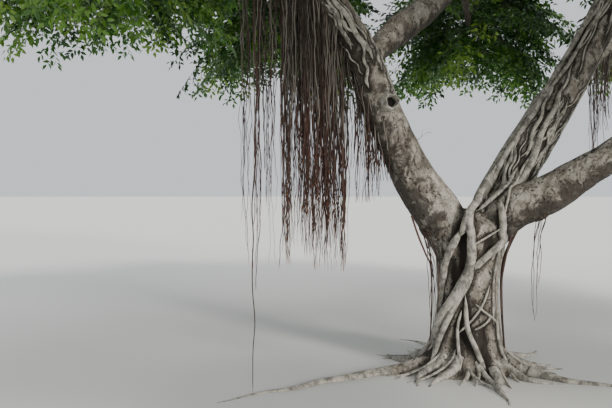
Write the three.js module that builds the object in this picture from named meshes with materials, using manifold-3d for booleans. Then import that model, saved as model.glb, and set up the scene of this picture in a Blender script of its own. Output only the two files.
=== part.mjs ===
// A banyan tree rooted in level ground, in millimetres: +X right, +Y away from the viewer, +Z up.
// The origin is on the ground at the middle of the trunk's flat foot. Each limb, each curtain of
// aerial roots and each mass of foliage is one solid, and neighbours keep a hair's gap.
import * as THREE from "three";
import { mergeVertices } from "three/addons/utils/BufferGeometryUtils.js";
import Module from "manifold-3d";

const wasm = await Module();
wasm.setup();

const CLEARANCE = 0.3;
const DEGREE = Math.PI / 180;
const GOLDEN_ANGLE = Math.PI * (3 - Math.sqrt(5));
const A_LITTLE = 0.01;
const UP = new THREE.Vector3(0, 0, 1);
const FIRST_SIDE = new THREE.Vector3(0.12, 1, 0.07);

// The trunk's radius is its waist, plus a flare at the ground that leans to one side, and a
// swelling under the fork. Its rings bunch together towards the ground.
const TRUNK = {
  waist: 252,
  flare: 187,
  flareHeight: 240,
  flareToward: 195,
  flareLean: 0.3,
  swell: 56,
  swellFrom: 800,
  shoulder: 1200,
  top: 1420,
  fluting: 14,
  sides: 20,
  rings: 9,
  bunching: 1.35,
};

// Buttress roots: compass angle from +X in degrees, reach of the tip from the trunk's middle,
// height where the root leaves the trunk, radius there, and sideways drift in degrees.
const BUTTRESSES = [
  [196, 2350, 400, 88, 11],
  [166, 900, 360, 70, -16],
  [218, 820, 460, 80, 8],
  [243, 780, 430, 76, -10],
  [259, 640, 300, 42, -4],
  [272, 800, 340, 44, 6],
  [287, 1120, 420, 70, -16],
  [306, 860, 380, 62, 12],
  [326, 1550, 380, 76, 4],
  [354, 780, 350, 66, 14],
  [28, 1050, 420, 78, 10],
  [62, 800, 360, 70, -14],
  [98, 1250, 440, 84, 12],
  [131, 780, 380, 66, -10],
];

// They start inside the trunk, and fall away with the distance from it.
const BUTTRESS = { from: 150, fall: 165, bend: 1.4, thinning: 0.95, tip: 9, sides: 5, rings: 6 };

// Aerial roots grafted round the trunk, from the fork down to the ground. Each is a run of
// [height, compass angle, radius], the first row at the top.
const GRAFTED_ROOTS = [
  [[1400, 266, 46], [1150, 268, 46], [940, 265, 44], [720, 240, 42], [450, 210, 42], [150, 198, 44]],
  [[920, 268, 24], [760, 255, 25], [600, 236, 25], [330, 216, 26], [60, 210, 28]],
  [[1290, 250, 32], [1050, 228, 32], [850, 209, 31], [630, 200, 31], [380, 199, 30]],
  [[1290, 320, 33], [1150, 318, 32], [1060, 297, 32], [980, 280, 30], [900, 268, 28]],
  [[700, 252, 15], [420, 256, 20], [250, 268, 22], [60, 279, 20]],
  [[620, 268, 10], [520, 292, 11], [400, 330, 12]],
  [[510, 300, 9], [430, 288, 9], [380, 262, 9]],
  [[1330, 20, 28], [900, 8, 24], [480, 30, 26], [60, 38, 30]],
  [[1330, 110, 42], [920, 84, 40], [500, 62, 38], [60, 58, 40]],
  [[1260, 128, 34], [840, 138, 32], [440, 130, 32], [60, 124, 34]],
];
const GRAFT = { proud: 0.35, sides: 4 };

// Boughs: rows of [x, y, z, radius] along the middle of each, from inside the trunk outwards.
// The last stretch, to the mass of foliage that ends the bough, is worked out from the crown.
const BOUGHS = {
  left: [
    [-20, 0, 900, 190],
    [-240, -20, 1330, 214],
    [-510, -50, 1730, 186],
    [-735, -70, 2230, 154],
    [-925, -70, 2720, 140],
    [-1240, -40, 3290, 126],
    [-1720, 40, 4050, 104],
  ],
  middle: [
    [60, 40, 930, 150],
    [235, 60, 1330, 176],
    [430, 120, 1680, 166],
    [685, 200, 2080, 160],
    [945, 330, 2450, 156],
    [1300, 480, 3030, 150],
    [1800, 620, 3900, 124],
  ],
  right: [
    [110, -40, 1080, 140],
    [330, -120, 1390, 184],
    [520, -170, 1490, 178],
    [700, -210, 1580, 166],
    [925, -290, 1745, 142],
    [1128, -350, 1880, 130],
    [1800, -520, 2400, 114],
  ],
  back: [
    [-880, -50, 2760, 90],
    [-620, 180, 3030, 136],
    [-330, 420, 3290, 130],
    [-60, 700, 3580, 118],
    [300, 1350, 4150, 98],
  ],
};
const BOUGH = { tip: 72, sides: 10, moreRings: 2 };

// Aerial roots that hug the middle bough: where each starts and ends along it as a share of its
// length, the angle round it in degrees at both ends, and its radius.
const HUGGING_ROOTS = [
  [0.1, 0.62, 96, 70, 44],
  [0.12, 0.6, 40, 128, 30],
  [0.2, 0.66, 10, 62, 28],
  [0.16, 0.5, -46, 34, 26],
  [0.14, 0.58, 215, 160, 34],
];
const HUG = { steps: 60, ends: 0.4, sunkEnd: 0.55, rise: 0.9, taper: 0.3, sides: 5, rings: 6 };

// A pruned stub with a hollow end, on the front of the left bough.
const STUB = {
  along: 0.457,
  facing: new THREE.Vector3(0.3, -1, 0.06).normalize(),
  radius: 60,
  hollow: 38,
  depth: 70,
  proud: 42,
  sides: 10,
};

// The crown: rings of foliage masses, from the drooping rim to the top. Each mass is an ellipsoid
// less whatever lies nearer to another mass, so that none meet. grows lists the bough that each
// mass hangs from, and how far along it its own limb starts: 1 is the bough's tip.
const CROWN = { x: 100, y: 200, seed: 4171, jitter: 180, gap: 12 };
const RINGS = [
  {
    name: "rim",
    radius: 4450,
    height: 4050,
    turn: -5,
    spread: 1950,
    depth: 1900,
    lowest: -0.45,
    limb: 84,
    grows: [
      ["right", 1],
      ["middle", 0.47],
      ["back", 0.66],
      ["back", 0.5],
      ["left", 0.72],
      ["left", 0.6],
      ["left", 0.68],
      ["right", 0.76],
      ["right", 0.84],
    ],
  },
  {
    name: "middle",
    radius: 2850,
    height: 5750,
    turn: 10,
    spread: 1850,
    depth: 1750,
    lowest: -0.75,
    limb: 74,
    grows: [
      ["middle", 1],
      ["back", 1],
      ["back", 0.78],
      ["left", 1],
      ["left", 0.8],
      ["middle", 0.7],
    ],
  },
  {
    name: "top",
    radius: 1100,
    height: 7000,
    turn: 150,
    spread: 1650,
    depth: 1500,
    lowest: -0.75,
    limb: 64,
    grows: [
      ["left", 0.88],
      ["middle", 0.8],
      ["back", 0.86],
    ],
  },
];

// Limbs end this far out in their mass. A side limb sets off the way its bough heads (lead),
// follows the straight way to its mass, and arches over it.
const ENTRY = 0.62;
const LIMB = {
  lead: 0.22,
  follow: 0.12,
  crest: 0.66,
  arch: 0.1,
  tip: 40,
  taper: 1.2,
  sides: 6,
  rings: 5,
};

// What grows in a mass: a stem on from the limb's tip, twigs that spread by the golden angle, and
// leaf sprays on both sides of each twig with one at its end. A spray has the largest of its
// sizes that fits.
const FOLIAGE = {
  seedStep: 31,
  stem: { fit: 0.94, bend: 0.5, rise: 0.2, tip: 20, sides: 4, rings: 3 },
  twigs: 5,
  firstTwig: 0.96,
  twigSpacing: 0.5,
  reach: 0.8,
  leastReach: 0.16,
  reachStep: 0.04,
  endRoom: 0.9,
  twigRadius: 15,
  twigTip: 7,
  bow: 0.12,
  sprays: [0.5, 0.75, 1],
  sprayLength: 860,
  sprayWidth: 520,
  sprayThickness: 16,
  sizes: [1, 0.8, 0.62],
  splay: 58,
  unevenTurn: 24,
  unevenTilt: 1.6,
  droop: 30,
  sunk: 4,
};

// Curtains of aerial roots: the limb each hangs from, the stretch of it in shares of its length,
// how many strands, the radius at their top, and the lowest and highest height of their tips.
const CURTAINS = [
  ["aerial_roots_left_outer", "limb_rim_6", 0.3, 0.52, 9, 19, 900, 1500],
  ["aerial_roots_left_inner", "limb_rim_6", 0.08, 0.27, 9, 20, 780, 1250],
  ["aerial_roots_left_front", "limb_rim_7", 0.1, 0.28, 6, 18, 950, 1450],
  ["aerial_roots_left_rear", "limb_rim_5", 0.12, 0.32, 5, 18, 900, 1400],
  ["aerial_roots_left_bough", "bough_left", 0.4, 0.6, 8, 18, 1330, 1800],
  ["aerial_roots_left_foot", "bough_left", 0.12, 0.155, 3, 12, 240, 420],
  ["aerial_roots_right_bough", "bough_right", 0.26, 0.33, 3, 12, 320, 700],
  ["aerial_roots_middle_limb", "limb_rim_2", 0.31, 0.5, 6, 16, 1800, 2400],
];
const CURTAIN = {
  bar: 26,
  barTip: 14,
  seat: 0.2,
  barSides: 5,
  barRings: 4,
  tip: 5,
  sway: 26,
  swirl: 2.4,
  scatter: 16,
  seed: 903,
  seedStep: 17,
};

const BARK = { color: 0x8a8072, roughness: 0.9, metalness: 0 };
const ROOT = { color: 0x5a4238, roughness: 0.9, metalness: 0 };
const LEAF = { color: 0x3f6b22, roughness: 0.5, metalness: 0, flatShading: true };

// A seeded run of numbers spread evenly from 0 to 1, the same in every run.
function dice(seed) {
  let state = seed;
  return () => {
    state = (state * 16807) % 2147483647;
    return state / 2147483647;
  };
}

function compass(azimuth, radius, height) {
  return new THREE.Vector3(radius * Math.cos(azimuth), radius * Math.sin(azimuth), height);
}

// A geometry as a solid: closed, with its faces pointing out.
function solidOf(geometry) {
  geometry.deleteAttribute("normal");
  geometry.deleteAttribute("uv");
  const merged = mergeVertices(geometry, 1e-3);
  const triVerts = new Uint32Array(merged.index.array);
  const mesh = () =>
    new wasm.Mesh({ numProp: 3, vertProperties: merged.attributes.position.array, triVerts });
  const solid = new wasm.Manifold(mesh());
  if (solid.volume() > 0) return solid;
  for (let i = 0; i < triVerts.length; i += 3) {
    [triVerts[i + 1], triVerts[i + 2]] = [triVerts[i + 2], triVerts[i + 1]];
  }
  return new wasm.Manifold(mesh());
}

function largestPiece(solid) {
  return solid.decompose().reduce((a, b) => (a.volume() > b.volume() ? a : b));
}

// Moves a closed cylinder's vertices: place(turn, ring, share) gives the point for each, where
// share is 1 on the skin and 0 at the middle of an end cap.
function shapedCylinder(sides, rings, place) {
  const geometry = new THREE.CylinderGeometry(1, 1, 1, sides, rings);
  const position = geometry.getAttribute("position");
  const vertex = new THREE.Vector3();
  for (let i = 0; i < position.count; i += 1) {
    vertex.fromBufferAttribute(position, i);
    const ring = Math.round((vertex.y + 0.5) * rings);
    const turn = Math.atan2(vertex.z, vertex.x);
    const share = Math.min(1, Math.round(Math.hypot(vertex.x, vertex.z)));
    const placed = place(turn, ring, share);
    position.setXYZ(i, placed.x, placed.y, placed.z);
  }
  return geometry;
}

// Middle, heading and two cross directions at each ring of a limb, with no twist between rings.
function ringFrames(pointAt, rings, heading, firstSide = FIRST_SIDE) {
  const points = Array.from({ length: rings + 1 }, (_, i) => pointAt(i / rings));
  const frames = [];
  for (let i = 0; i <= rings; i += 1) {
    const ahead = points[Math.min(i + 1, rings)];
    const behind = points[Math.max(i - 1, 0)];
    const tangent = ahead.clone().sub(behind).normalize();
    if (i === 0 && heading) tangent.copy(heading);
    const last = i ? frames[i - 1].side : firstSide;
    const side = last.clone().addScaledVector(tangent, -last.dot(tangent)).normalize();
    frames.push({ point: points[i], tangent, side, front: tangent.clone().cross(side) });
  }
  return frames;
}

// A round tapering limb: pointAt and radiusAt take the share of the way along it.
function limbSolid({ pointAt, radiusAt, sides, rings, heading, firstSide }, grow = 0) {
  const frames = ringFrames(pointAt, rings, heading, firstSide);
  const geometry = shapedCylinder(sides, rings, (turn, ring, share) => {
    const { point, tangent, side, front } = frames[ring];
    const radius = share * (radiusAt(ring / rings) + grow);
    const past = ring === rings ? grow : 0;
    return point
      .clone()
      .addScaledVector(tangent, ring ? past : -grow)
      .addScaledVector(side, radius * Math.cos(turn))
      .addScaledVector(front, radius * Math.sin(turn));
  });
  return solidOf(geometry);
}

// The middle of a limb as it is built: straight from each of its rings to the next.
function spineAt(path, share) {
  const place = THREE.MathUtils.clamp(share, 0, 1) * path.rings;
  const ring = Math.min(Math.floor(place), path.rings - 1);
  const [from, to] = [ring, ring + 1].map((item) => path.pointAt(item / path.rings));
  return from.lerp(to, place - ring);
}

function headingAt(path, share) {
  return spineAt(path, share + A_LITTLE).sub(spineAt(path, share - A_LITTLE)).normalize();
}

function smoothCurve(rows) {
  const points = rows.map((row) => new THREE.Vector3(row[0], row[1], row[2]));
  return new THREE.CatmullRomCurve3(points, false, "catmullrom", 0.5);
}

function steppedRadius(rows) {
  return (share) => {
    const place = share * (rows.length - 1);
    const row = Math.min(Math.floor(place), rows.length - 2);
    return THREE.MathUtils.lerp(rows[row][3], rows[row + 1][3], place - row);
  };
}

function trunkRadius(height, azimuth) {
  const leaning = 1 + TRUNK.flareLean * Math.cos(azimuth - TRUNK.flareToward * DEGREE);
  const flare = TRUNK.flare * leaning * Math.exp(-height / TRUNK.flareHeight);
  const swell = TRUNK.swell * THREE.MathUtils.smoothstep(height, TRUNK.swellFrom, TRUNK.shoulder);
  const flutes = Math.sin(5 * azimuth + 0.8) + 0.6 * Math.sin(8 * azimuth + 2);
  const over = Math.max(0, height - TRUNK.shoulder) / (TRUNK.top - TRUNK.shoulder);
  const rounding = Math.sqrt(Math.max(0.04, 1 - over * over));
  return (TRUNK.waist + flare + swell + TRUNK.fluting * flutes) * rounding;
}

// The bare trunk, its rings closer together near the ground where it flares.
function trunkCore(grow) {
  const { sides, rings, top, bunching } = TRUNK;
  const geometry = shapedCylinder(sides, rings, (turn, ring, share) => {
    const height = top * (ring / rings) ** bunching;
    const radius = share * (trunkRadius(height, turn) + grow);
    return compass(turn, radius, height + (ring === rings ? grow : 0));
  });
  return solidOf(geometry);
}

// A buttress root leaves the trunk steeply, bends out and thins to a tip lying on the ground.
function buttress([azimuth, reach, rise, thickness, drift], grow) {
  const { from, fall, bend, thinning, tip, sides, rings } = BUTTRESS;
  const pointAt = (share) => {
    const out = (reach - from) * share ** bend;
    const turn = (azimuth + drift * share * share) * DEGREE;
    return compass(turn, from + out, rise * Math.exp(-out / fall));
  };
  const radiusAt = (share) => tip + (thickness - tip) * (1 - share) ** thinning;
  return limbSolid({ pointAt, radiusAt, sides, rings }, grow);
}

// A root on the trunk's skin, along a smooth curve through its rows.
function graftedRoot(rows, grow) {
  const curve = smoothCurve(rows);
  const pointAt = (share) => {
    const { x: height, y: azimuth, z: radius } = curve.getPoint(share);
    const turn = azimuth * DEGREE;
    return compass(turn, trunkRadius(height, turn) + radius * GRAFT.proud, height);
  };
  const radiusAt = (share) => curve.getPoint(share).z;
  return limbSolid({ pointAt, radiusAt, sides: GRAFT.sides, rings: rows.length + 1 }, grow);
}

// The trunk with its buttresses and grafted roots, cut flat at the ground.
function trunkSolid(grow = 0) {
  const pieces = [
    trunkCore(grow),
    ...BUTTRESSES.map((row) => buttress(row, grow)),
    ...GRAFTED_ROOTS.map((rows) => graftedRoot(rows, grow)),
  ];
  return wasm.Manifold.union(pieces).trimByPlane([0, 0, 1], 0);
}

// Foliage masses: where each one's middle is, and how far it spreads.
function foliageMasses() {
  const roll = dice(CROWN.seed);
  const shift = () => (2 * roll() - 1) * CROWN.jitter;
  return RINGS.flatMap((ring) =>
    ring.grows.map(([bough, along], index) => {
      const turn = (ring.turn + (360 * index) / ring.grows.length) * DEGREE;
      const middle = compass(turn, ring.radius, ring.height);
      middle.add(new THREE.Vector3(CROWN.x + shift(), CROWN.y + shift(), shift()));
      const name = ring.name + "_" + (index + 1);
      return { name, ring, bough, along, middle };
    }),
  );
}

const MASSES = foliageMasses();

// How far out a point lies in a mass: 0 in the middle and 1 on the ellipsoid.
function depthIn({ middle, ring }, point) {
  const across = Math.hypot(point.x - middle.x, point.y - middle.y) / ring.spread;
  return Math.hypot(across, (point.z - middle.z) / ring.depth);
}

// Whether a point is in a mass's own space: inside its ellipsoid, and nearer to its middle than
// to any other by the gap that is left between masses.
function inSpace(mass, point) {
  if (depthIn(mass, point) > 1) return false;
  const own = point.distanceTo(mass.middle);
  return MASSES.every(
    (other) => other === mass || point.distanceTo(other.middle) - own > 2 * CROWN.gap,
  );
}

// Where a limb that comes from a point ends in a mass.
function entryPoint(mass, from) {
  const toward = from.clone().sub(mass.middle);
  return mass.middle.clone().addScaledVector(toward, ENTRY / depthIn(mass, from));
}

// A bough of the list above, carried on to the foliage that ends it.
function boughPath(name) {
  const mass = MASSES.find((item) => item.bough === name && item.along === 1);
  const rows = BOUGHS[name];
  const last = new THREE.Vector3(...rows[rows.length - 1]);
  const entry = entryPoint(mass, last);
  const full = [...rows, [entry.x, entry.y, entry.z, BOUGH.tip]];
  const curve = smoothCurve(full);
  const pointAt = (share) => curve.getPoint(share);
  const rings = full.length + BOUGH.moreRings;
  return { pointAt, radiusAt: steppedRadius(full), sides: BOUGH.sides, rings };
}

// A side limb leaves its bough the way the bough heads, then arches over to its own mass.
function sideLimbPath(mass, bough) {
  const start = bough.pointAt(mass.along);
  const heading = bough.pointAt(mass.along + A_LITTLE).sub(start).normalize();
  const end = entryPoint(mass, start);
  const way = end.clone().sub(start);
  const length = way.length();
  const first = start.clone().addScaledVector(heading, LIMB.lead * length);
  first.addScaledVector(way, LIMB.follow);
  const second = start.clone().addScaledVector(way, LIMB.crest);
  second.addScaledVector(UP, LIMB.arch * length);
  const curve = smoothCurve([start, first, second, end].map((point) => point.toArray()));
  const pointAt = (share) => curve.getPoint(share);
  const radiusAt = (share) => LIMB.tip + (mass.ring.limb - LIMB.tip) * (1 - share) ** LIMB.taper;
  return { pointAt, radiusAt, sides: LIMB.sides, rings: LIMB.rings };
}

// A root that winds along a bough, its ends sunk in.
function huggingRoot(path, [from, to, angleFrom, angleTo, radius], grow) {
  const frames = ringFrames(path.pointAt, HUG.steps);
  const pointAt = (share) => {
    const along = from + (to - from) * share;
    const { point, side, front } = frames[Math.round(along * HUG.steps)];
    const turn = (angleFrom + (angleTo - angleFrom) * share) * DEGREE;
    const lift = HUG.rise * Math.sin(Math.PI * share) ** HUG.ends - HUG.sunkEnd;
    const out = path.radiusAt(along) + radius * lift;
    return point
      .clone()
      .addScaledVector(side, out * Math.cos(turn))
      .addScaledVector(front, out * Math.sin(turn));
  };
  const radiusAt = (share) => radius * (1 - HUG.taper * share);
  return limbSolid({ pointAt, radiusAt, sides: HUG.sides, rings: HUG.rings }, grow);
}

// A straight round from the bough's middle towards where its stub faces.
function stubRound(path, radius, from, to) {
  const middle = path.pointAt(STUB.along);
  const pointAt = (share) => middle.clone().addScaledVector(STUB.facing, from + (to - from) * share);
  return limbSolid({ pointAt, radiusAt: () => radius, sides: STUB.sides, rings: 1 });
}

function withStub(path, solid) {
  const rim = path.radiusAt(STUB.along) + STUB.proud;
  const stub = stubRound(path, STUB.radius, 0, rim);
  const hollow = stubRound(path, STUB.hollow, rim - STUB.depth, rim + STUB.proud);
  return solid.add(stub).subtract(hollow);
}

// A leaf spray: a flat eight-faced blade from its root, along and across the given directions.
function sprayBlade(root, along, across, size) {
  const length = FOLIAGE.sprayLength * size;
  const blade = new THREE.OctahedronGeometry(1);
  blade.scale(length / 2, (FOLIAGE.sprayWidth * size) / 2, FOLIAGE.sprayThickness / 2);
  blade.translate(length / 2, 0, 0);
  const normal = along.clone().cross(across).normalize();
  const side = normal.clone().cross(along);
  blade.applyMatrix4(new THREE.Matrix4().makeBasis(along, side, normal).setPosition(root));
  return blade;
}

function everyVertexIn(geometry, mass) {
  const position = geometry.getAttribute("position");
  const vertex = new THREE.Vector3();
  for (let i = 0; i < position.count; i += 1) {
    if (!inSpace(mass, vertex.fromBufferAttribute(position, i))) return false;
  }
  return true;
}

// The largest of the spray sizes that fits in the mass at a place and meets none of the other
// solids, or nothing.
function fittingSpray(mass, root, along, across, others) {
  return FOLIAGE.sizes
    .map((size) => sprayBlade(root, along, across, size))
    .filter((blade) => everyVertexIn(blade, mass))
    .map(solidOf)
    .find((spray) => !meetsAny(spray, others));
}

// The way a spray points when its twig heads in a direction: it droops below it.
function drooping(direction) {
  return direction.clone().addScaledVector(UP, -Math.sin(FOLIAGE.droop * DEGREE)).normalize();
}

// Where a twig that heads out in a direction ends: as far out as its mass's space allows, with
// room for the spray at its end.
function twigEnd(mass, direction) {
  const { ring, middle } = mass;
  const full = direction.clone().multiply(new THREE.Vector3(ring.spread, ring.spread, ring.depth));
  const room = FOLIAGE.sprayLength * FOLIAGE.endRoom;
  const spray = drooping(full.clone().normalize()).multiplyScalar(room);
  let reach = FOLIAGE.reach;
  while (reach > FOLIAGE.leastReach) {
    const end = middle.clone().addScaledVector(full, reach);
    if (inSpace(mass, end.clone().add(spray))) break;
    reach -= FOLIAGE.reachStep;
  }
  return middle.clone().addScaledVector(full, reach);
}

// The sprays on one twig: side ones splayed left and right by turns, and one straight at its end.
function spraysOn(path, mass, roll, others) {
  const kept = [];
  FOLIAGE.sprays.forEach((share, index) => {
    const isEnd = index === FOLIAGE.sprays.length - 1;
    const splay = isEnd ? 0 : FOLIAGE.splay * (index % 2 ? 1 : -1);
    const turn = (splay + FOLIAGE.unevenTurn * (roll() - 0.5)) * DEGREE;
    const along = drooping(headingAt(path, share).applyAxisAngle(UP, turn));
    const tilt = FOLIAGE.unevenTilt * (roll() - 0.5);
    const across = UP.clone().cross(along).normalize().addScaledVector(UP, tilt);
    const root = spineAt(path, share).addScaledVector(along, -FOLIAGE.sunk);
    const spray = fittingSpray(mass, root, along, across, [...others, ...kept]);
    if (spray) kept.push({ grown: spray, box: spray.boundingBox() });
  });
  return kept;
}

// One mass: its stem, twigs and sprays, fused. Whatever meets a limb is left out.
function foliageSolid(mass, limb, limbs) {
  const roll = dice(CROWN.seed + FOLIAGE.seedStep * (MASSES.indexOf(mass) + 1));
  const { fit, bend, rise, tip, sides, rings } = FOLIAGE.stem;
  const limbTip = limb.pointAt(1);
  const heading = ringFrames(limb.pointAt, limb.rings)[limb.rings].tangent;
  const start = limbTip.clone().addScaledVector(heading, CLEARANCE);
  const elbow = start.clone().addScaledVector(heading, bend * limbTip.distanceTo(mass.middle));
  const top = mass.middle.clone().addScaledVector(UP, mass.ring.depth * rise);
  const stem = new THREE.QuadraticBezierCurve3(start, elbow, top);
  const stemRadius = (share) => THREE.MathUtils.lerp(limb.radiusAt(1) * fit, tip, share);
  const pointOn = (share) => stem.getPoint(share);
  const pieces = [limbSolid({ pointAt: pointOn, radiusAt: stemRadius, heading, sides, rings })];
  const sprays = [];
  const firstTurn = 2 * Math.PI * roll();
  for (let index = 0; index < FOLIAGE.twigs; index += 1) {
    const share = (index + 0.5) / FOLIAGE.twigs;
    const height = 1 - (1 - mass.ring.lowest) * share;
    const across = Math.sqrt(1 - height * height);
    const end = twigEnd(mass, compass(firstTurn + index * GOLDEN_ANGLE, across, height));
    const from = stem.getPoint(FOLIAGE.firstTwig - FOLIAGE.twigSpacing * share);
    const bow = end.distanceTo(from) * FOLIAGE.bow;
    const crest = from.clone().lerp(end, 0.5).addScaledVector(UP, bow);
    const twig = new THREE.QuadraticBezierCurve3(from, crest, end);
    const radiusAt = (part) => THREE.MathUtils.lerp(FOLIAGE.twigRadius, FOLIAGE.twigTip, part);
    const pointAt = (part) => twig.getPoint(part);
    const firstSide = end.clone().sub(from).cross(UP);
    const path = { pointAt, radiusAt, sides: 3, rings: 2, firstSide };
    const wood = limbSolid(path);
    if (meetsAny(wood, limbs)) continue;
    pieces.push(wood);
    sprays.push(...spraysOn(path, mass, roll, [...limbs, ...sprays]));
  }
  pieces.push(...sprays.map((spray) => spray.grown));
  return largestPiece(wasm.Manifold.union(pieces));
}

function boxesMeet(a, b) {
  return [0, 1, 2].every((axis) => a.min[axis] < b.max[axis] && b.min[axis] < a.max[axis]);
}

function meetsAny(solid, others) {
  const box = solid.boundingBox();
  return others.some((other) => boxesMeet(box, other.box) && !solid.intersect(other.grown).isEmpty());
}

// A curtain of aerial roots: a bar that hugs the underside of its limb, with strands hanging from
// it that sway a little, each ending at its own height.
function curtainSolid([, , from, to, count, thickness, lowest, highest], path, seed, placed) {
  const roll = dice(seed);
  const below = (share) => {
    const along = from + (to - from) * share;
    const ahead = headingAt(path, along);
    const under = UP.clone().addScaledVector(ahead, -ahead.z).normalize();
    const drop = path.radiusAt(along) + CURTAIN.bar * CURTAIN.seat;
    return spineAt(path, along).addScaledVector(under, -drop);
  };
  const barRadius = (share) => THREE.MathUtils.lerp(CURTAIN.bar, CURTAIN.barTip, Math.abs(2 * share - 1));
  const bar = { pointAt: below, radiusAt: barRadius, sides: CURTAIN.barSides, rings: CURTAIN.barRings };
  const pieces = [limbSolid(bar)];
  for (let index = 0; index < count; index += 1) {
    const share = (index + 0.25 + 0.5 * roll()) / count;
    const top = below(share);
    top.y += (roll() - 0.5) * CURTAIN.scatter;
    const end = lowest + (highest - lowest) * roll();
    const lean = 2 * Math.PI * roll();
    const pointAt = (part) => {
      const swing = lean + CURTAIN.swirl * part;
      return top.clone().add(compass(swing, CURTAIN.sway * part, (end - top.z) * part));
    };
    const radiusAt = (part) => THREE.MathUtils.lerp(thickness, CURTAIN.tip, part);
    const strand = limbSolid({ pointAt, radiusAt, sides: 3, rings: 2 });
    const others = placed.filter((item) => item.path !== path);
    if (!meetsAny(strand, others)) pieces.push(strand);
  }
  return cutClear(wasm.Manifold.union(pieces), placed);
}

// A solid less what is already placed near it, so that they meet with the clearance between.
function cutClear(solid, placed) {
  const box = solid.boundingBox();
  const near = placed.filter((item) => boxesMeet(box, item.box)).map((item) => item.grown);
  return near.length ? largestPiece(solid.subtract(wasm.Manifold.union(near))) : solid;
}

function meshOf(name, solid, finish) {
  const { numProp, vertProperties, triVerts } = solid.getMesh();
  const geometry = new THREE.BufferGeometry();
  geometry.setAttribute("position", new THREE.BufferAttribute(vertProperties, numProp));
  geometry.setIndex(new THREE.BufferAttribute(triVerts, 1));
  geometry.computeVertexNormals();
  const mesh = new THREE.Mesh(geometry, new THREE.MeshStandardMaterial(finish));
  mesh.name = name;
  return mesh;
}

// Places the trunk, then each limb cut clear of what stands before it, then roots and foliage.
function buildTree() {
  const tree = new THREE.Group();
  const placed = [];
  const place = (name, solid, finish, grown, path) => {
    tree.add(meshOf(name, solid, finish));
    if (grown) placed.push({ name, grown, path, box: grown.boundingBox() });
  };

  place("trunk", trunkSolid(), BARK, trunkSolid(CLEARANCE));

  const boughs = Object.fromEntries(Object.keys(BOUGHS).map((name) => [name, boughPath(name)]));
  for (const [name, path] of Object.entries(boughs)) {
    const shape = (grow) => {
      const core = limbSolid(path, grow);
      if (name !== "middle") return core;
      return core.add(
        wasm.Manifold.union(HUGGING_ROOTS.map((row) => huggingRoot(path, row, grow))),
      );
    };
    const whole = name === "left" ? withStub(path, shape(0)) : shape(0);
    place("bough_" + name, cutClear(whole, placed), BARK, shape(CLEARANCE), path);
  }

  const limbs = MASSES.map((mass) => {
    const bough = boughs[mass.bough];
    if (mass.along === 1) return bough;
    const path = sideLimbPath(mass, bough);
    const solid = cutClear(limbSolid(path), placed);
    place("limb_" + mass.name, solid, BARK, limbSolid(path, CLEARANCE), path);
    return path;
  });

  const wood = [...placed];
  CURTAINS.forEach((row, index) => {
    const path = wood.find((item) => item.name === row[1]).path;
    const solid = curtainSolid(row, path, CURTAIN.seed + CURTAIN.seedStep * index, wood);
    place(row[0], solid, ROOT, solid);
  });
  MASSES.forEach((mass, index) => {
    place("foliage_" + mass.name, foliageSolid(mass, limbs[index], placed), LEAF);
  });
  return tree;
}

export default buildTree();
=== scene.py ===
"""A banyan tree on a pale studio floor: bark, roots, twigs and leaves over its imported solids.

Lengths are in metres: +X right, +Y away from the viewer, +Z up, with the origin on the ground at
the middle of the trunk's flat foot. The file is laid out as an add-on, with one operator for each
group of pieces, and is run as a script.
"""
import math
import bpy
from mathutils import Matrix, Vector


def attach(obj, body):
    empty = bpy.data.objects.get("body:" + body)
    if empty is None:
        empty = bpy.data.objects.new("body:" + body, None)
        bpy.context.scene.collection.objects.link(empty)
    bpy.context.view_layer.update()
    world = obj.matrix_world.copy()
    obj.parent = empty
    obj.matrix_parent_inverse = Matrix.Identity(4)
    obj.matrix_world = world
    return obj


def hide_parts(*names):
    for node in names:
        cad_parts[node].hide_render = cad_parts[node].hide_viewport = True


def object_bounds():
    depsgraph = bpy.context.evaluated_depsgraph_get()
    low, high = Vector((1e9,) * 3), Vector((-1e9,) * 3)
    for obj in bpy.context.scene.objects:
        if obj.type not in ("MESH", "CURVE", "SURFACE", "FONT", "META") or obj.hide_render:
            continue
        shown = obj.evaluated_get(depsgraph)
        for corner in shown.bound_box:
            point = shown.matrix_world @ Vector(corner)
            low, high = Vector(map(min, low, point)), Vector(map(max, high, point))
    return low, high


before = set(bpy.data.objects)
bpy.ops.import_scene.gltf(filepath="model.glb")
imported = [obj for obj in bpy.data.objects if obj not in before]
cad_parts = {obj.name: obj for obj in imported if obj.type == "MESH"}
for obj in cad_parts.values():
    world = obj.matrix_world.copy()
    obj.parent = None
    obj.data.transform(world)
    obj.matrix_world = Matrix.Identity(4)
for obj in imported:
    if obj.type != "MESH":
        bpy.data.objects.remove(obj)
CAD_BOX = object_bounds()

from types import SimpleNamespace as Sizes

import bmesh
import bpy
import numpy as np
from bpy.props import FloatProperty, FloatVectorProperty, IntProperty, PointerProperty
from mathutils import Vector, kdtree, noise
from mathutils.bvhtree import BVHTree

bl_info = {
    "name": "Banyan tree",
    "version": (1, 0, 0),
    "blender": (4, 5, 0),
    "location": "View3D > Sidebar > Banyan",
    "description": "Grows a banyan's bark, roots, twigs and leaves over its packed solids",
    "category": "Object",
}

BOX_LOW, BOX_HIGH = (np.array(corner) for corner in CAD_BOX)
GOLDEN_ANGLE = math.pi * (3 - math.sqrt(5))
A_LITTLE = 0.01
UP = np.array([0.0, 0.0, 1.0])
FIRST_SIDE = np.array([0.12, 1.0, 0.07])
OFF_UPRIGHT = UP + 0.31 * FIRST_SIDE
BLACK = (0.0, 0.0, 0.0)
DICE = Sizes(step=16807, size=2147483647)

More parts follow.
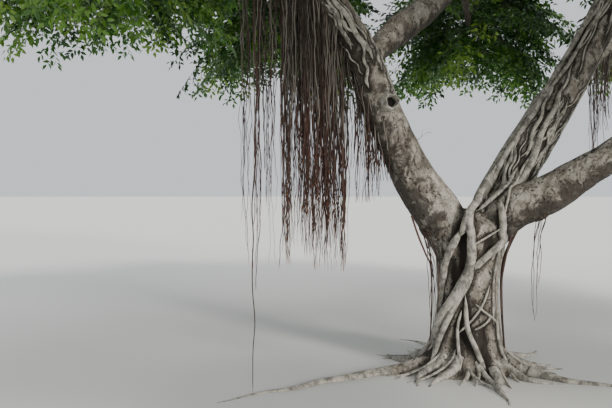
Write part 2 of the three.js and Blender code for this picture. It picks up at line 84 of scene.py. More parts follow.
# The trunk's radius is its waist, plus a flare at the ground, a swelling under the fork and flutes.
# A row of flutes says how many go round it, where they start in radians, and how strong they are.
TRUNK = Sizes(
    foot=-0.04,
    waist=0.252,
    flare=0.187,
    flare_height=0.24,
    flare_toward=195,
    flare_lean=0.3,
    swell=0.056,
    swell_from=0.8,
    shoulder=1.2,
    top=1.42,
    least_rounding=0.04,
    fluting=0.014,
    flutes=((5, 0.8, 1.0), (8, 2.0, 0.6)),
    sides=112,
    rings=90,
)

# Buttress roots: compass angle from +X in degrees, reach of the tip, height where the root leaves
# the trunk, radius there, and sideways drift in degrees.
BUTTRESSES = [
    (196, 2.35, 0.40, 0.088, 11),
    (166, 0.90, 0.36, 0.070, -16),
    (218, 0.82, 0.46, 0.080, 8),
    (243, 0.78, 0.43, 0.076, -10),
    (259, 0.64, 0.30, 0.042, -4),
    (272, 0.80, 0.34, 0.044, 6),
    (287, 1.12, 0.42, 0.070, -16),
    (306, 0.86, 0.38, 0.062, 12),
    (326, 1.55, 0.38, 0.076, 4),
    (354, 0.78, 0.35, 0.066, 14),
    (28, 1.05, 0.42, 0.078, 10),
    (62, 0.80, 0.36, 0.070, -14),
    (98, 1.25, 0.44, 0.084, 12),
    (131, 0.78, 0.38, 0.066, -10),
]
BUTTRESS = Sizes(
    start=0.15, fall=0.165, bend=1.4, thinning=0.95, tip=0.009, wander=0.5, waves=9, sides=14,
    rings=44,
)

# A buttress is one with the trunk's bark up to a share of its length (beyond). A slim root starts
# inside it (within) and runs on to its tip. It winds in waves, fully from winding_from on, and goes
# down into the ground by a share of its radius (sunk).
SLIM = Sizes(within=0.4, beyond=0.56, wave=0.55, wind=0.016, winding_from=0.5, sunk=0.7)

# Slimmer roots that leave the trunk between the buttresses, at random within these sizes.
FOOT_ROOTS = Sizes(
    seed=12, count=34, reach=(0.45, 0.85), rise=(0.25, 0.60), fall=(0.15, 0.26),
    radius=(0.011, 0.030), drift=24,
)

# Hollows in the trunk between its grafted roots: height, compass angle, depth, and how far each
# reaches up and down and to both sides, in degrees.
HOLLOWS = [
    (1.08, 249, 0.120, 0.20, 9),
    (0.80, 228, 0.090, 0.20, 8),
    (1.12, 293, 0.070, 0.07, 9),
    (0.36, 250, 0.060, 0.16, 9),
    (0.26, 283, 0.060, 0.16, 7),
    (0.24, 232, 0.050, 0.14, 6),
    (0.80, 60, 0.070, 0.26, 10),
    (0.70, 155, 0.060, 0.25, 9),
    (0.30, 110, 0.060, 0.20, 8),
]

# Aerial roots grafted round the trunk, in rows of height, compass angle and radius.
GRAFTED_ROOTS = [
    [(1.40, 261, 0.036), (1.15, 262, 0.037), (0.94, 261, 0.041), (0.72, 240, 0.042),
     (0.45, 210, 0.042), (0.15, 198, 0.044)],
    [(0.92, 268, 0.024), (0.76, 255, 0.025), (0.60, 236, 0.025), (0.33, 216, 0.026),
     (0.06, 210, 0.028)],
    [(1.29, 250, 0.032), (1.05, 228, 0.032), (0.85, 209, 0.031), (0.63, 200, 0.031),
     (0.38, 199, 0.030)],
    [(1.29, 320, 0.033), (1.15, 318, 0.032), (1.06, 297, 0.032), (0.98, 280, 0.030),
     (0.88, 262, 0.031)],
    [(0.70, 252, 0.015), (0.42, 256, 0.020), (0.25, 268, 0.022), (0.06, 279, 0.020)],
    [(0.62, 268, 0.010), (0.52, 292, 0.011), (0.40, 330, 0.012)],
    [(0.51, 300, 0.009), (0.43, 288, 0.009), (0.38, 262, 0.009)],
    [(1.33, 20, 0.028), (0.90, 8, 0.024), (0.48, 30, 0.026), (0.06, 38, 0.030)],
    [(1.33, 110, 0.042), (0.92, 84, 0.040), (0.50, 62, 0.038), (0.06, 58, 0.040)],
    [(1.26, 128, 0.034), (0.84, 138, 0.032), (0.44, 130, 0.032), (0.06, 124, 0.034)],
    [(1.22, 330, 0.012), (0.98, 312, 0.012), (0.70, 306, 0.011), (0.42, 304, 0.010)],
    [(1.10, 232, 0.010), (0.86, 214, 0.010), (0.60, 196, 0.010), (0.30, 190, 0.012)],
    [(0.78, 300, 0.009), (0.60, 284, 0.010), (0.46, 262, 0.010), (0.34, 238, 0.009)],
    [(0.56, 246, 0.012), (0.40, 240, 0.013), (0.22, 244, 0.014), (0.05, 248, 0.014)],
    [(0.50, 320, 0.012), (0.34, 312, 0.013), (0.20, 314, 0.014), (0.05, 318, 0.014)],
]

# How such a root lies and is shaped. Its middle line stands proud of the trunk's plain form, and
# then of the bark itself (seat), by shares of its radius.
GRAFT = Sizes(
    proud=0.35,
    seat=0.62,
    step=0.012,
    fewest_steps=8,
    eased=7,
    wobble=0.12,
    wobble_waves=31,
    wobble_shift=40,
    lumps=0.06,
    lump_waves=0.21,
    lump_shift=9,
    taper=0.16,
    thin_end=0.15,
    sides=12,
    fine=0.019,
    fine_sides=8,
)

# Roots that bridge the fork, in rows of x, y, z and radius. The first carries the thickest grafted
# root on up to the middle bough. The finished root has so many points for each row.
BRIDGE_STEPS = 16
BRIDGING_ROOTS = [
    [(0.242, -0.040, 1.805, 0.029), (0.160, -0.080, 1.680, 0.032), (0.088, -0.130, 1.580, 0.033),
     (0.030, -0.200, 1.490, 0.033), (-0.040, -0.270, 1.420, 0.034), (-0.062, -0.310, 1.350, 0.034),
     (-0.060, -0.325, 1.250, 0.033), (-0.048, -0.325, 1.110, 0.034)],
    [(-0.130, -0.290, 1.190, 0.028), (-0.105, -0.305, 1.280, 0.030), (-0.080, -0.305, 1.360, 0.029),
     (-0.055, -0.280, 1.430, 0.026)],
    [(0.205, -0.300, 1.500, 0.020), (0.215, -0.310, 1.400, 0.028), (0.235, -0.270, 1.290, 0.032),
     (0.225, -0.240, 1.140, 0.032)],
    [(0.420, -0.060, 1.790, 0.014), (0.300, -0.140, 1.620, 0.015), (0.150, -0.190, 1.500, 0.016),
     (0.020, -0.230, 1.400, 0.014)],
    [(0.520, -0.010, 1.860, 0.010), (0.420, -0.100, 1.700, 0.012), (0.330, -0.190, 1.560, 0.012),
     (0.250, -0.290, 1.420, 0.011), (0.200, -0.300, 1.250, 0.010)],
    [(0.280, -0.270, 1.290, 0.008), (0.200, -0.300, 1.250, 0.008), (0.100, -0.300, 1.190, 0.009),
     (0.010, -0.320, 1.140, 0.009), (-0.050, -0.320, 1.110, 0.009)],
]

# Loose brown roots that hang free beside the trunk, in the same rows.
LOOSE_ROOTS = [
    [(0.420, -0.160, 1.300, 0.013), (0.300, -0.150, 1.040, 0.015), (0.262, -0.140, 0.820, 0.013),
     (0.266, -0.140, 0.520, 0.011), (0.290, -0.140, 0.200, 0.008)],
    [(0.340, -0.190, 1.240, 0.008), (0.280, -0.190, 0.980, 0.008), (0.246, -0.180, 0.740, 0.007),
     (0.250, -0.180, 0.500, 0.005)],
    [(-0.520, -0.100, 1.360, 0.009), (-0.460, -0.110, 1.180, 0.009), (-0.400, -0.120, 1.030, 0.008),
     (-0.350, -0.110, 0.900, 0.007), (-0.340, -0.110, 0.560, 0.006), (-0.360, -0.120, 0.260, 0.005)],
    [(-0.420, -0.110, 1.300, 0.006), (-0.360, -0.130, 1.020, 0.006), (-0.345, -0.130, 0.700, 0.005),
     (-0.355, -0.130, 0.380, 0.004)],
    [(-0.360, -0.110, 1.200, 0.006), (-0.300, -0.150, 0.960, 0.006), (-0.292, -0.150, 0.700, 0.005),
     (-0.300, -0.150, 0.480, 0.004)],
]

# Boughs: rows of x, y, z and radius along the middle of each, from inside the trunk outwards.
BOUGHS = {
    "left": [
        (-0.020, 0.000, 0.900, 0.190),
        (-0.240, -0.020, 1.330, 0.214),
        (-0.510, -0.050, 1.730, 0.186),
        (-0.735, -0.070, 2.230, 0.154),
        (-0.925, -0.070, 2.720, 0.140),
        (-1.240, -0.040, 3.290, 0.126),
        (-1.720, 0.040, 4.050, 0.104),
    ],
    "middle": [
        (0.060, 0.040, 0.930, 0.150),
        (0.235, 0.060, 1.330, 0.176),
        (0.430, 0.120, 1.680, 0.166),
        (0.685, 0.200, 2.080, 0.160),
        (0.945, 0.330, 2.450, 0.156),
        (1.300, 0.480, 3.030, 0.150),
        (1.800, 0.620, 3.900, 0.124),
    ],
    "right": [
        (0.110, -0.040, 1.080, 0.140),
        (0.330, -0.120, 1.390, 0.184),
        (0.520, -0.170, 1.490, 0.178),
        (0.700, -0.210, 1.580, 0.166),
        (0.925, -0.290, 1.745, 0.142),
        (1.128, -0.350, 1.880, 0.130),
        (1.800, -0.520, 2.400, 0.114),
    ],
    "back": [
        (-0.880, -0.050, 2.760, 0.090),
        (-0.620, 0.180, 3.030, 0.136),
        (-0.330, 0.420, 3.290, 0.130),
        (-0.060, 0.700, 3.580, 0.118),
        (0.300, 1.350, 4.150, 0.098),
    ],
}
BOUGH = Sizes(tip=0.072, sides=40, rings=120)

# Aerial roots that hug a bough: where each starts and ends along it as a share of its length, the
# angle round it in degrees at both ends, and its radius. 180 degrees faces the viewer.
HUGGING_ROOTS = {
    "middle": [
        (0.10, 0.62, 96, 70, 0.044),
        (0.12, 0.60, 40, 128, 0.030),
        (0.20, 0.66, 10, 62, 0.028),
        (0.16, 0.50, -46, 34, 0.026),
        (0.14, 0.58, 215, 160, 0.034),
        (0.14, 0.84, 116, 110, 0.030),
        (0.15, 0.36, 178, 122, 0.019),
        (0.34, 0.60, 172, 118, 0.018),
        (0.15, 0.30, 176, 226, 0.012),
        (0.30, 0.56, 226, 196, 0.015),
        (0.44, 0.86, 108, 168, 0.018),
    ],
    "left": [
        (0.56, 0.78, 205, 178, 0.026),
        (0.60, 0.76, 150, 182, 0.018),
    ],
    "right": [
        (0.05, 0.27, 100, 60, 0.022),
    ],
}
HUG = Sizes(ends=0.4, sunk_end=0.55, rise=0.9, taper=0.3, rings=70, frames=121, wander=0.012, waves=17)

# Finer roots that cross those at random. Each row is a bough, how many, the stretch of the bough
# that they start in, the least and most of it that they cover, and the angles that they start in.
NETS = [
    ("middle", 50, (0.12, 0.74), (0.08, 0.24), (90, 270)),
    ("middle", 18, (0.10, 0.60), (0.12, 0.30), (-75, 85)),
    ("left", 10, (0.46, 0.72), (0.06, 0.18), (150, 235)),
]
NET = Sizes(seed=77, thinnest=0.006, thickest=0.015, turn=62, least_turn=0.3)

# The bark's relief: how closely its lumps, knobs and furrows follow each other across the wood and
# up it, where each pattern starts, and how much it counts. The fused mesh is eased before that.
LUMPS = Sizes(across=3.2, up=1.7, start=0, size=0.65)
KNOBS = Sizes(across=11, up=8, start=5, size=0.45)
FURROWS = Sizes(across=16, up=7, start=9, size=0.6, width=0.14)
EASING = Sizes(share=0.5, rounds=9)

# How deep a hollow is where its painted shade is darkest, how far from the trunk's middle the
# painted shade of the hollows fades out, how far the painted shade of a root reaches over the bark
# beside it, to which a share of its radius is added, how the painted shade of the underside depends
# on the way the bark faces and on its height, and the height and the relief that stand for all the
# side limbs.
HOLLOW_SHADE_DEPTH = 0.06
HOLLOWS_FADE = (0.36, 0.46)
ROOT_SHADE = 0.02
SHADE_PER_RADIUS = 2.2
UNDERSIDE_SHADE = Sizes(facing=(-0.7, 0.4), height=(0.9, 1.4))
LIMB_HEIGHT = 3.0
LIMB_RELIEF = 0.6
ON_GROUND = 1e-4

# The pruned stub on the left bough: how far along it, where it faces, and its collar, whose outline
# wavers. A row of wavering says how many waves go round, where they start and how high they are.
STUB = Sizes(
    along=0.457,
    facing=(0.3, -1.0, 0.06),
    reach=0.078,
    hollow=0.045,
    proud=0.078,
    floor=0.010,
    sunk=-0.03,
    wavering=((3, 1, 0.07), (7, 0, 0.05)),
    # How far the near-black painted shade inside the stub's hole reaches, as a share of its radius.
    dark_edge=1.05,
    sides=40,
)

# The crown: rings of foliage masses, from the drooping rim to the top. Each mass is an ellipsoid
# less whatever lies nearer to another mass. grows lists the bough that each mass hangs from, and
# how far along it its own limb starts: 1 is the bough's tip.
CROWN = Sizes(x=0.1, y=0.2, seed=4171, jitter=0.18, gap=0.012, box_margin=0.03)
RINGS = [
    Sizes(
        name="rim",
        radius=4.45,
        height=4.05,
        turn=-5,
        spread=1.95,
        depth=1.9,
        lowest=-0.45,
        limb=0.084,
        grows=[
            ("right", 1), ("middle", 0.47), ("back", 0.66), ("back", 0.5), ("left", 0.72),
            ("left", 0.6), ("left", 0.68), ("right", 0.76), ("right", 0.84),
        ],
    ),
    Sizes(
        name="middle",
        radius=2.85,
        height=5.75,
        turn=10,
        spread=1.85,
        depth=1.75,
        lowest=-0.75,
        limb=0.074,
        grows=[
            ("middle", 1), ("back", 1), ("back", 0.78), ("left", 1), ("left", 0.8), ("middle", 0.7),
        ],
    ),
    Sizes(
        name="top",
        radius=1.1,
        height=7.0,
        turn=150,
        spread=1.65,
        depth=1.5,
        lowest=-0.75,
        limb=0.064,
        grows=[("left", 0.88), ("middle", 0.8), ("back", 0.86)],
    ),
]

# Limbs end this far out in their mass. A side limb sets off the way its bough heads (lead),
# follows the straight way to its mass, and arches over it. A row of its lumps says how many go
# round it, how they wind along it and how high they are.
ENTRY = 0.62
LIMB = Sizes(
    lead=0.22, follow=0.12, crest=0.66, arch=0.1, tip=0.04, taper=1.2, sides=16, rings=64,
    collar=0.4, collar_length=0.16, lumps=((3, 2.1, 0.05), (5, -5.3, 0.04)),
)

# What grows in a mass. The first twigs are the source's own, and finer ones fill in between them
# and over the middle by the same rule.
FOLIAGE = Sizes(
    seed_step=31,
    stem=Sizes(fit=0.94, sunk=0.03, bend=0.5, rise=0.2, tip=0.02, sides=8, rings=16),
    first_twigs=5,
    top_twigs=3,
    top_lowest=0.7,
    first_twig=0.96,
    twig_spacing=0.5,
    reach=0.8,
    least_reach=0.16,
    reach_step=0.04,
    end_room=0.9,
    twig_radius=0.015,
    fine_radius=0.010,
    twig_tip=0.004,
    bow=0.12,
    twig_sides=5,
    twig_rings=7,
    first_spray=0.36,
    splay=58,
    uneven_turn=34,
    uneven_tilt=1.2,
    droop=30,
)

# A spray of leaves: a bowed axis with twiglets to the left and right in turn. Its sizes are the
# source's and one more, with the number of twiglets for each. The axis is made of spikes from joint
# to joint, each of which starts a little way back along itself (overlap).
SPRAY = Sizes(
    length=0.86,
    width=0.52,
    sizes=((1.0, 8), (0.8, 6), (0.62, 5), (0.45, 4)),
    variants=7,
    sag=0.13,
    bow=0.05,
    bow_turn=2.2,
    axis_radius=0.0045,
    joints=(0, 0.4, 0.75, 1),
    joint_radii=(1, 0.75, 0.5),
    overrun=1.02,
    thick_root=1.1,
    overlap=0.3,
)

# The twiglets of a spray: where the first starts on its axis and the stretch that they share, and
# how their length falls off along it. Pairs are the least and the most of what is drawn for each.
TWIGLET = Sizes(
    first=0.1,
    run=0.78,
    length=0.3,
    longest=1.05,
    shortening=0.6,
    uneven_length=(0.8, 1.1),
    angle=52,
    uneven_angle=(0.85, 1.15),
    dip=0.12,
    rise=(-0.35, 0.25),
    bare=0.03,
    radius=0.0028,
)

# A leaf is a pointed oval in shares of its length and width, folded up along its midrib and bent
# down to its tip. Leaves stand to both sides in turn at an angle, each turned and tipped at random.
# The shares of the tints run from the darkest to the brightest: the deep tint is painted shade, and
# the fresh and bright ones are painted sunlight on the leaves.
LEAF = Sizes(
    outline=((0, 0), (0.28, -0.47), (0.68, -0.36), (1, 0), (0.42, 0.5)),
    folds=((0, 1, 2), (0, 2, 3), (0, 3, 4)),
    lift=0.28,
    bend=0.07,
    runs=3,
    spacing=0.043,
    first=0.6,
    angle=48,
    turn=0.2,
    tip=0.24,
    dip=0.22,
    stalk=0.012,
    unevenness=0.5,
    roughness=0.42,
    shares=(0.28, 0.40, 0.24, 0.08),
)

# Curtains of aerial roots: the limb each hangs from, the stretch of it in shares of its length,
# how many main strands, the lowest and highest height of their tips, and how many fine strands
# each main one is made of.
CURTAINS = {
    "aerial_roots_left_outer": ("limb_rim_6", 0.30, 0.52, 9, 0.90, 1.50, 8),
    "aerial_roots_left_inner": ("limb_rim_6", 0.08, 0.27, 9, 0.78, 1.25, 16),
    "aerial_roots_left_front": ("limb_rim_7", 0.10, 0.28, 6, 0.95, 1.45, 11),
    "aerial_roots_left_rear": ("limb_rim_5", 0.12, 0.32, 5, 0.90, 1.40, 12),
    "aerial_roots_left_bough": ("bough_left", 0.40, 0.60, 8, 1.33, 1.80, 12),
    "aerial_roots_left_foot": ("bough_left", 0.12, 0.155, 3, 0.24, 0.42, 2),
    "aerial_roots_right_bough": ("bough_right", 0.26, 0.33, 3, 0.32, 0.70, 2),
    "aerial_roots_middle_limb": ("limb_rim_2", 0.31, 0.50, 6, 1.80, 2.40, 9),
}

# A fine strand starts within spread of its main one and round the limb by an angle, gathers towards
# it, sways as it does, and wavers in waves of a length and a size. Pairs are the least and the most
# of what is drawn for each strand.
CURTAIN = Sizes(
    seed=903,
    seed_step=17,
    spread=0.030,
    round_limb=0.6,
    inside_limb=0.01,
    sway=0.026,
    swirl=2.4,
    gathering=(0.25, 0.9),
    gathered_by=(0.2, 0.7),
    waves=((1.6, 0.020), (0.60, 0.010), (0.22, 0.0045)),
    wave_length=(0.7, 1.4),
    wave_size=(0.3, 1),
    uneven_length=0.4,
    shortening=(-0.2, 1),
    taper=0.62,
    point=0.12,
    sides=4,
    rings=48,
    brown_from=0.36,
    uneven_brown=0.25,
    tip_from=0.962,
)

# Roots that twine along a limb's underside, from side to side, where a curtain hangs from it.
TWINING = Sizes(count=4, radius=0.009, waves=5, swing=0.55, thin_ends=0.8, sides=6, rings=40)

# How many tones the upper and lower parts of the roots have, and the sides of a loose root.
TONES = 3
LOOSE_SIDES = 8

# The places of two finishes in the list of those of stems, twigs and sprays.
TWIG = 1
GREEN_TWIG = 2

# Long thin roots that hang alone: their limb, how far along it, and the height of their tips.
LONE_ROOTS = [
    ("limb_rim_7", 0.685, 0.22),
    ("limb_rim_6", 0.47, 0.72),
    ("limb_rim_6", 0.40, 0.90),
]

# Dead twiglets on the left bough: the two ends and the radius of each.
DEAD_TWIGS = [
    ((-0.500, -0.080, 2.000), (-0.345, -0.090, 2.120), 0.0050),
    ((-0.430, -0.085, 2.055), (-0.415, -0.080, 2.135), 0.0032),
    ((-0.385, -0.088, 2.088), (-0.320, -0.080, 2.095), 0.0028),
    ((-0.490, -0.080, 2.010), (-0.420, -0.090, 2.000), 0.0036),
]

# The studio floor is a disc with its middle under the tree.
FLOOR = Sizes(reach=400.0, sides=128)

# Distant lights: which of the stage's strengths each has a share of, the angle that blurs it, how
# far it is tipped up from straight down and then turned about the upright, in degrees, its colour.
WARM = (1.0, 0.96, 0.9)
COOL = (0.95, 0.97, 1.0)
LIGHTS = {
    "Main light": Sizes(strength="key", share=1.0, softness=14, tip=46, turn=34, colour=WARM),
    "Low light": Sizes(strength="low", share=1.0, softness=12, tip=77, turn=40, colour=WARM),
    "Rear light": Sizes(strength="low", share=0.3, softness=40, tip=72, turn=-160, colour=COOL),
}

# The viewer's eye, and how wide its picture is and how far above its middle the horizon lies, in
# pixels.
VIEWER = Sizes(
    place=(-1.446, -6.07, 1.55), lens=40.0, sensor=36.0, picture_width=612, horizon_above=10
)


def dice(seed):
    """A seeded run of numbers spread evenly from 0 to 1, the same as the source's."""
    state = seed

    def roll():
        nonlocal state
        state = (state * DICE.step) % DICE.size
        return state / DICE.size

    return roll


def unit(vectors):
    return vectors / np.linalg.norm(vectors, axis=-1, keepdims=True)


def even_turns(count):
    """Angles that go evenly round a circle."""
    return np.arange(count) * 2 * math.pi / count


def compass(azimuth, radius, height):
    """Points at compass angles, in radians from +X, round the trunk's middle line."""
    places = np.broadcast_arrays(radius * np.cos(azimuth), radius * np.sin(azimuth), height)
    return np.stack(places, axis=-1)


def smoothstep(low, high, value):
    share = np.clip((value - low) / (high - low), 0, 1)
    return share * share * (3 - 2 * share)


class SmoothCurve:
    """A curve through rows of numbers, which leaves each row the way its neighbours lie."""

    def __init__(self, rows):
        rows = np.array(rows, float)
        before = 2 * rows[0] - rows[1]
        after = 2 * rows[-1] - rows[-2]
        self.rows = np.vstack([before, rows, after])
        self.spans = len(rows) - 1

    def at(self, share):
        place = np.asarray(share, float) * self.spans
        span = np.clip(np.floor(place), 0, self.spans - 1).astype(int)
        part = (place - span)[..., None]
        before, start, end, after = (self.rows[span + step] for step in range(4))
        leaving = (end - before) / 2
        arriving = (after - start) / 2
        square = 3 * (end - start) - 2 * leaving - arriving
        cube = 2 * (start - end) + leaving + arriving
        return start + part * (leaving + part * (square + part * cube))


class Limb:
    """A tapering limb: its middle line and radius at shares of the way along it."""

    def __init__(self, at, radius_at):
        self.at = at
        self.radius_at = radius_at

    def heading(self, share):
        return unit(self.at(share + A_LITTLE) - self.at(share - A_LITTLE))


def ring_frames(points):
    """Directions along and across a run of points, with no twist from one to the next."""
    tangents = unit(np.gradient(points, axis=0))
    sides = np.empty_like(points)
    side = FIRST_SIDE
    for index, tangent in enumerate(tangents):
        side = unit(side - side.dot(tangent) * tangent)
        sides[index] = side
    return tangents, sides, np.cross(tangents, sides)


def skin(rings):
    """Vertices and triangles of a closed skin over rings of points, capped at both ends."""
    count, sides = rings.shape[:2]
    points = np.vstack([rings.reshape(-1, 3), rings[0].mean(axis=0), rings[-1].mean(axis=0)])
    ring, side = np.meshgrid(np.arange(count - 1), np.arange(sides), indexing="ij")
    ahead = (side + 1) % sides
    near, near_next = ring * sides + side, ring * sides + ahead
    far, far_next = near + sides, near_next + sides
    walls = np.stack([near, near_next, far_next, near, far_next, far], axis=-1).reshape(-1, 3)
    turn = np.arange(sides)
    turn_next = (turn + 1) % sides
    last = (count - 1) * sides
    first_cap = np.stack([np.full(sides, count * sides), turn_next, turn], axis=-1)
    last_cap = np.stack([np.full(sides, count * sides + 1), last + turn, last + turn_next], axis=-1)
    return points, np.vstack([walls, first_cap, last_cap])


def tube(points, radii, sides):
    """A round skin along a run of points. radii has a number for each point, or one for each side."""
    _, across, front = ring_frames(points)
    turns = even_turns(sides)
    round_it = np.cos(turns)[:, None] * across[:, None] + np.sin(turns)[:, None] * front[:, None]
    radii = np.asarray(radii, float)
    radii = radii.reshape(len(points), -1, 1)
    return skin(points[:, None] + radii * round_it)


def placed(name, data):
    """A new object in the scene."""
    item = bpy.data.objects.new(name, data)
    bpy.context.scene.collection.objects.link(item)
    return item


class Mould:
    """Collects the skins of like shapes, with a finish number for each face, to make one mesh."""

    def __init__(self):
        self.points = []
        self.faces = []
        self.finishes = []
        self.count = 0

    def add(self, points, faces, finish=0):
        self.points.append(points)
        self.faces.append(faces + self.count)
        self.finishes.append(np.broadcast_to(finish, len(faces)))
        self.count += len(points)

    def cast(self, name, materials=(), smooth=True):
        """The mesh object of all that was collected."""
        points = np.vstack(self.points).astype(np.float32)
        faces = np.vstack(self.faces).astype(np.int32)
        mesh = bpy.data.meshes.new(name)
        mesh.vertices.add(len(points))
        mesh.vertices.foreach_set("co", points.ravel())
        mesh.loops.add(faces.size)
        mesh.loops.foreach_set("vertex_index", faces.ravel())
        mesh.polygons.add(len(faces))
        mesh.polygons.foreach_set("loop_start", np.arange(0, faces.size, 3, dtype=np.int32))
        mesh.polygons.foreach_set("material_index", np.concatenate(self.finishes).astype(np.int32))
        mesh.polygons.foreach_set("use_smooth", np.full(len(faces), smooth))
        mesh.update(calc_edges=True)
        mesh.validate()
        for material in materials:
            mesh.materials.append(material)
        return placed(name, mesh)


def trunk_radius(height, azimuth):
    leaning = 1 + TRUNK.flare_lean * np.cos(azimuth - math.radians(TRUNK.flare_toward))
    flare = TRUNK.flare * leaning * np.exp(-height / TRUNK.flare_height)
    swell = TRUNK.swell * smoothstep(TRUNK.swell_from, TRUNK.shoulder, height)
    flutes = sum(size * np.sin(count * azimuth + start) for count, start, size in TRUNK.flutes)
    over = np.maximum(0, height - TRUNK.shoulder) / (TRUNK.top - TRUNK.shoulder)
    rounding = np.sqrt(np.maximum(TRUNK.least_rounding, 1 - over * over))
    return (TRUNK.waist + flare + swell + TRUNK.fluting * flutes) * rounding


def trunk_core():
    """The bare trunk, hollowed between its grafted roots, and carried a little below the ground so
    that it can be cut flat."""
    heights = np.linspace(TRUNK.foot, TRUNK.top, TRUNK.rings)[:, None]
    turns = even_turns(TRUNK.sides)[None]
    radii = trunk_radius(np.maximum(heights, 0), turns) - hollow_depth(heights, turns)
    return skin(compass(turns, radii, heights))


def hollow_depth(heights, turns):
    """How deep the hollows between the grafted roots are at heights and compass angles."""
    depths = 0.0
    for height, azimuth, depth, upright, sideways in HOLLOWS:
        aside = np.angle(np.exp(1j * (turns - math.radians(azimuth)))) / math.radians(sideways)
        depths = depths + depth * np.exp(-(((heights - height) / upright) ** 2) - aside**2)
    return depths


def buttress_line(azimuth, reach, rise, thickness, drift, fall=BUTTRESS.fall, part=(0, 1)):
    """The middle line and radii of a root that leaves the trunk steeply, bends out and thins to a
    tip on the ground, or of a part of it."""
    share = np.linspace(*part, BUTTRESS.rings)
    out = (reach - BUTTRESS.start) * share**BUTTRESS.bend
    turn = np.radians(azimuth + drift * share * share)
    wander = BUTTRESS.wander * thickness * np.sin(BUTTRESS.waves * share + azimuth) * share
    points = compass(turn, BUTTRESS.start + out, rise * np.exp(-out / fall))
    points += wander[:, None] * compass(turn + math.pi / 2, 1, 0)
    return points, BUTTRESS.tip + (thickness - BUTTRESS.tip) * (1 - share) ** BUTTRESS.thinning


def bough_limb(name):
    """A bough of the list above, carried on to the foliage that ends it."""
    mass = next(item for item in MASSES if item.bough == name and item.along == 1)
    rows = BOUGHS[name]
    entry = entry_point(mass, np.array(rows[-1][:3]))
    full = [*rows, (*entry, BOUGH.tip)]
    curve = SmoothCurve([row[:3] for row in full])
    places = np.linspace(0, 1, len(full))
    radii = [row[3] for row in full]
    return Limb(curve.at, lambda share: np.interp(share, places, radii))


def side_limb(mass, bough):
    """A limb that leaves its bough the way the bough heads, then arches over to its own mass."""
    start = bough.at(mass.along)
    heading = unit(bough.at(mass.along + A_LITTLE) - start)
    end = entry_point(mass, start)
    way = end - start
    length = np.linalg.norm(way)
    first = start + heading * LIMB.lead * length + way * LIMB.follow
    second = start + way * LIMB.crest + UP * LIMB.arch * length
    curve = SmoothCurve([start, first, second, end])
    thick = mass.ring.limb - LIMB.tip
    return Limb(curve.at, lambda share: LIMB.tip + thick * np.clip(1 - share, 0, 1) ** LIMB.taper)


def foliage_masses():
    """Where each mass of foliage has its middle, and what it grows on."""
    roll = dice(CROWN.seed)
    masses = []
    for ring in RINGS:
        for index, (bough, along) in enumerate(ring.grows):
            turn = math.radians(ring.turn + 360 * index / len(ring.grows))
            shift = np.array([(2 * roll() - 1) * CROWN.jitter for _ in range(3)])
            middle = compass(turn, ring.radius, ring.height) + shift
            middle += (CROWN.x, CROWN.y, 0)
            name = f"{ring.name}_{index + 1}"
            masses.append(Sizes(name=name, ring=ring, bough=bough, along=along, middle=middle))
    return masses


def depth_in(mass, points):
    """How far out points lie in a mass: 0 in the middle and 1 on the ellipsoid."""
    away = points - mass.middle
    across = np.hypot(away[..., 0], away[..., 1]) / mass.ring.spread
    return np.hypot(across, away[..., 2] / mass.ring.depth)


def entry_point(mass, start):
    return mass.middle + (start - mass.middle) * ENTRY / depth_in(mass, start)


MASSES = foliage_masses()
MIDDLES = np.array([mass.middle for mass in MASSES])
LIMBS = {"bough_" + name: bough_limb(name) for name in BOUGHS}


def grow_limbs():
    """The limb that ends in each mass: a bough, or a side limb, which joins the list of limbs."""
    ending = []
    for mass in MASSES:
        limb = LIMBS["bough_" + mass.bough]
        if mass.along < 1:
            limb = side_limb(mass, limb)
            LIMBS["limb_" + mass.name] = limb
        ending.append(limb)
    return ending


ENDING_LIMBS = grow_limbs()


def in_space(index, points):
    """Which points lie in a mass's own space: inside its ellipsoid and the tree's own box, and
    nearer to its middle than to any other."""
    away = np.linalg.norm(points[..., None, :] - MIDDLES, axis=-1)
    own = away[..., index].copy()
    away[..., index] = np.inf
    nearest = away.min(axis=-1) - own > 2 * CROWN.gap
    low, high = BOX_LOW + CROWN.box_margin, BOX_HIGH - CROWN.box_margin
    boxed = ((points > low) & (points < high)).all(axis=-1)
    return nearest & boxed & (depth_in(MASSES[index], points) <= 1)


def graft_line(rows):
    """The middle line and radii of a root on the trunk's skin, through its rows."""
    curve = SmoothCurve(rows)
    count = max(GRAFT.fewest_steps, int((rows[0][0] - rows[-1][0]) / GRAFT.step))
    height, azimuth, radius = curve.at(np.linspace(0, 1, count)).T
    turn = np.radians(azimuth)
    phase = height * GRAFT.wobble_waves + azimuth / GRAFT.wobble_shift
    wobble = GRAFT.wobble * radius * np.sin(phase)
    out = trunk_radius(height, turn) + radius * GRAFT.proud + wobble
    return compass(turn, out, height), radius


def hug_line(limb, start, end, angle_from, angle_to, radius, phase=0.0):
    """The middle line and radii of a root that winds along a limb, its ends sunk in."""
    share = np.linspace(0, 1, HUG.rings)
    along = start + (end - start) * share
    whole = np.linspace(0, 1, HUG.frames)
    _, sides, fronts = ring_frames(limb.at(whole))
    side = unit(np.stack([np.interp(along, whole, sides[:, axis]) for axis in range(3)], axis=-1))
    front = unit(np.stack([np.interp(along, whole, fronts[:, axis]) for axis in range(3)], axis=-1))
    wander = HUG.wander * np.sin(share * HUG.waves + phase) / limb.radius_at(along)
    turn = np.radians(angle_from + (angle_to - angle_from) * share) + wander
    lift = HUG.rise * np.sin(math.pi * share).clip(0) ** HUG.ends - HUG.sunk_end
    out = limb.radius_at(along) + radius * lift
    round_it = side * np.cos(turn)[:, None] + front * np.sin(turn)[:, None]
    return limb.at(along) + out[:, None] * round_it, radius * (1 - HUG.taper * share)


def bridge_line(rows):
    count = BRIDGE_STEPS * len(rows)
    x, y, z, radius = SmoothCurve(rows).at(np.linspace(0, 1, count)).T
    return np.stack([x, y, z], axis=-1), radius


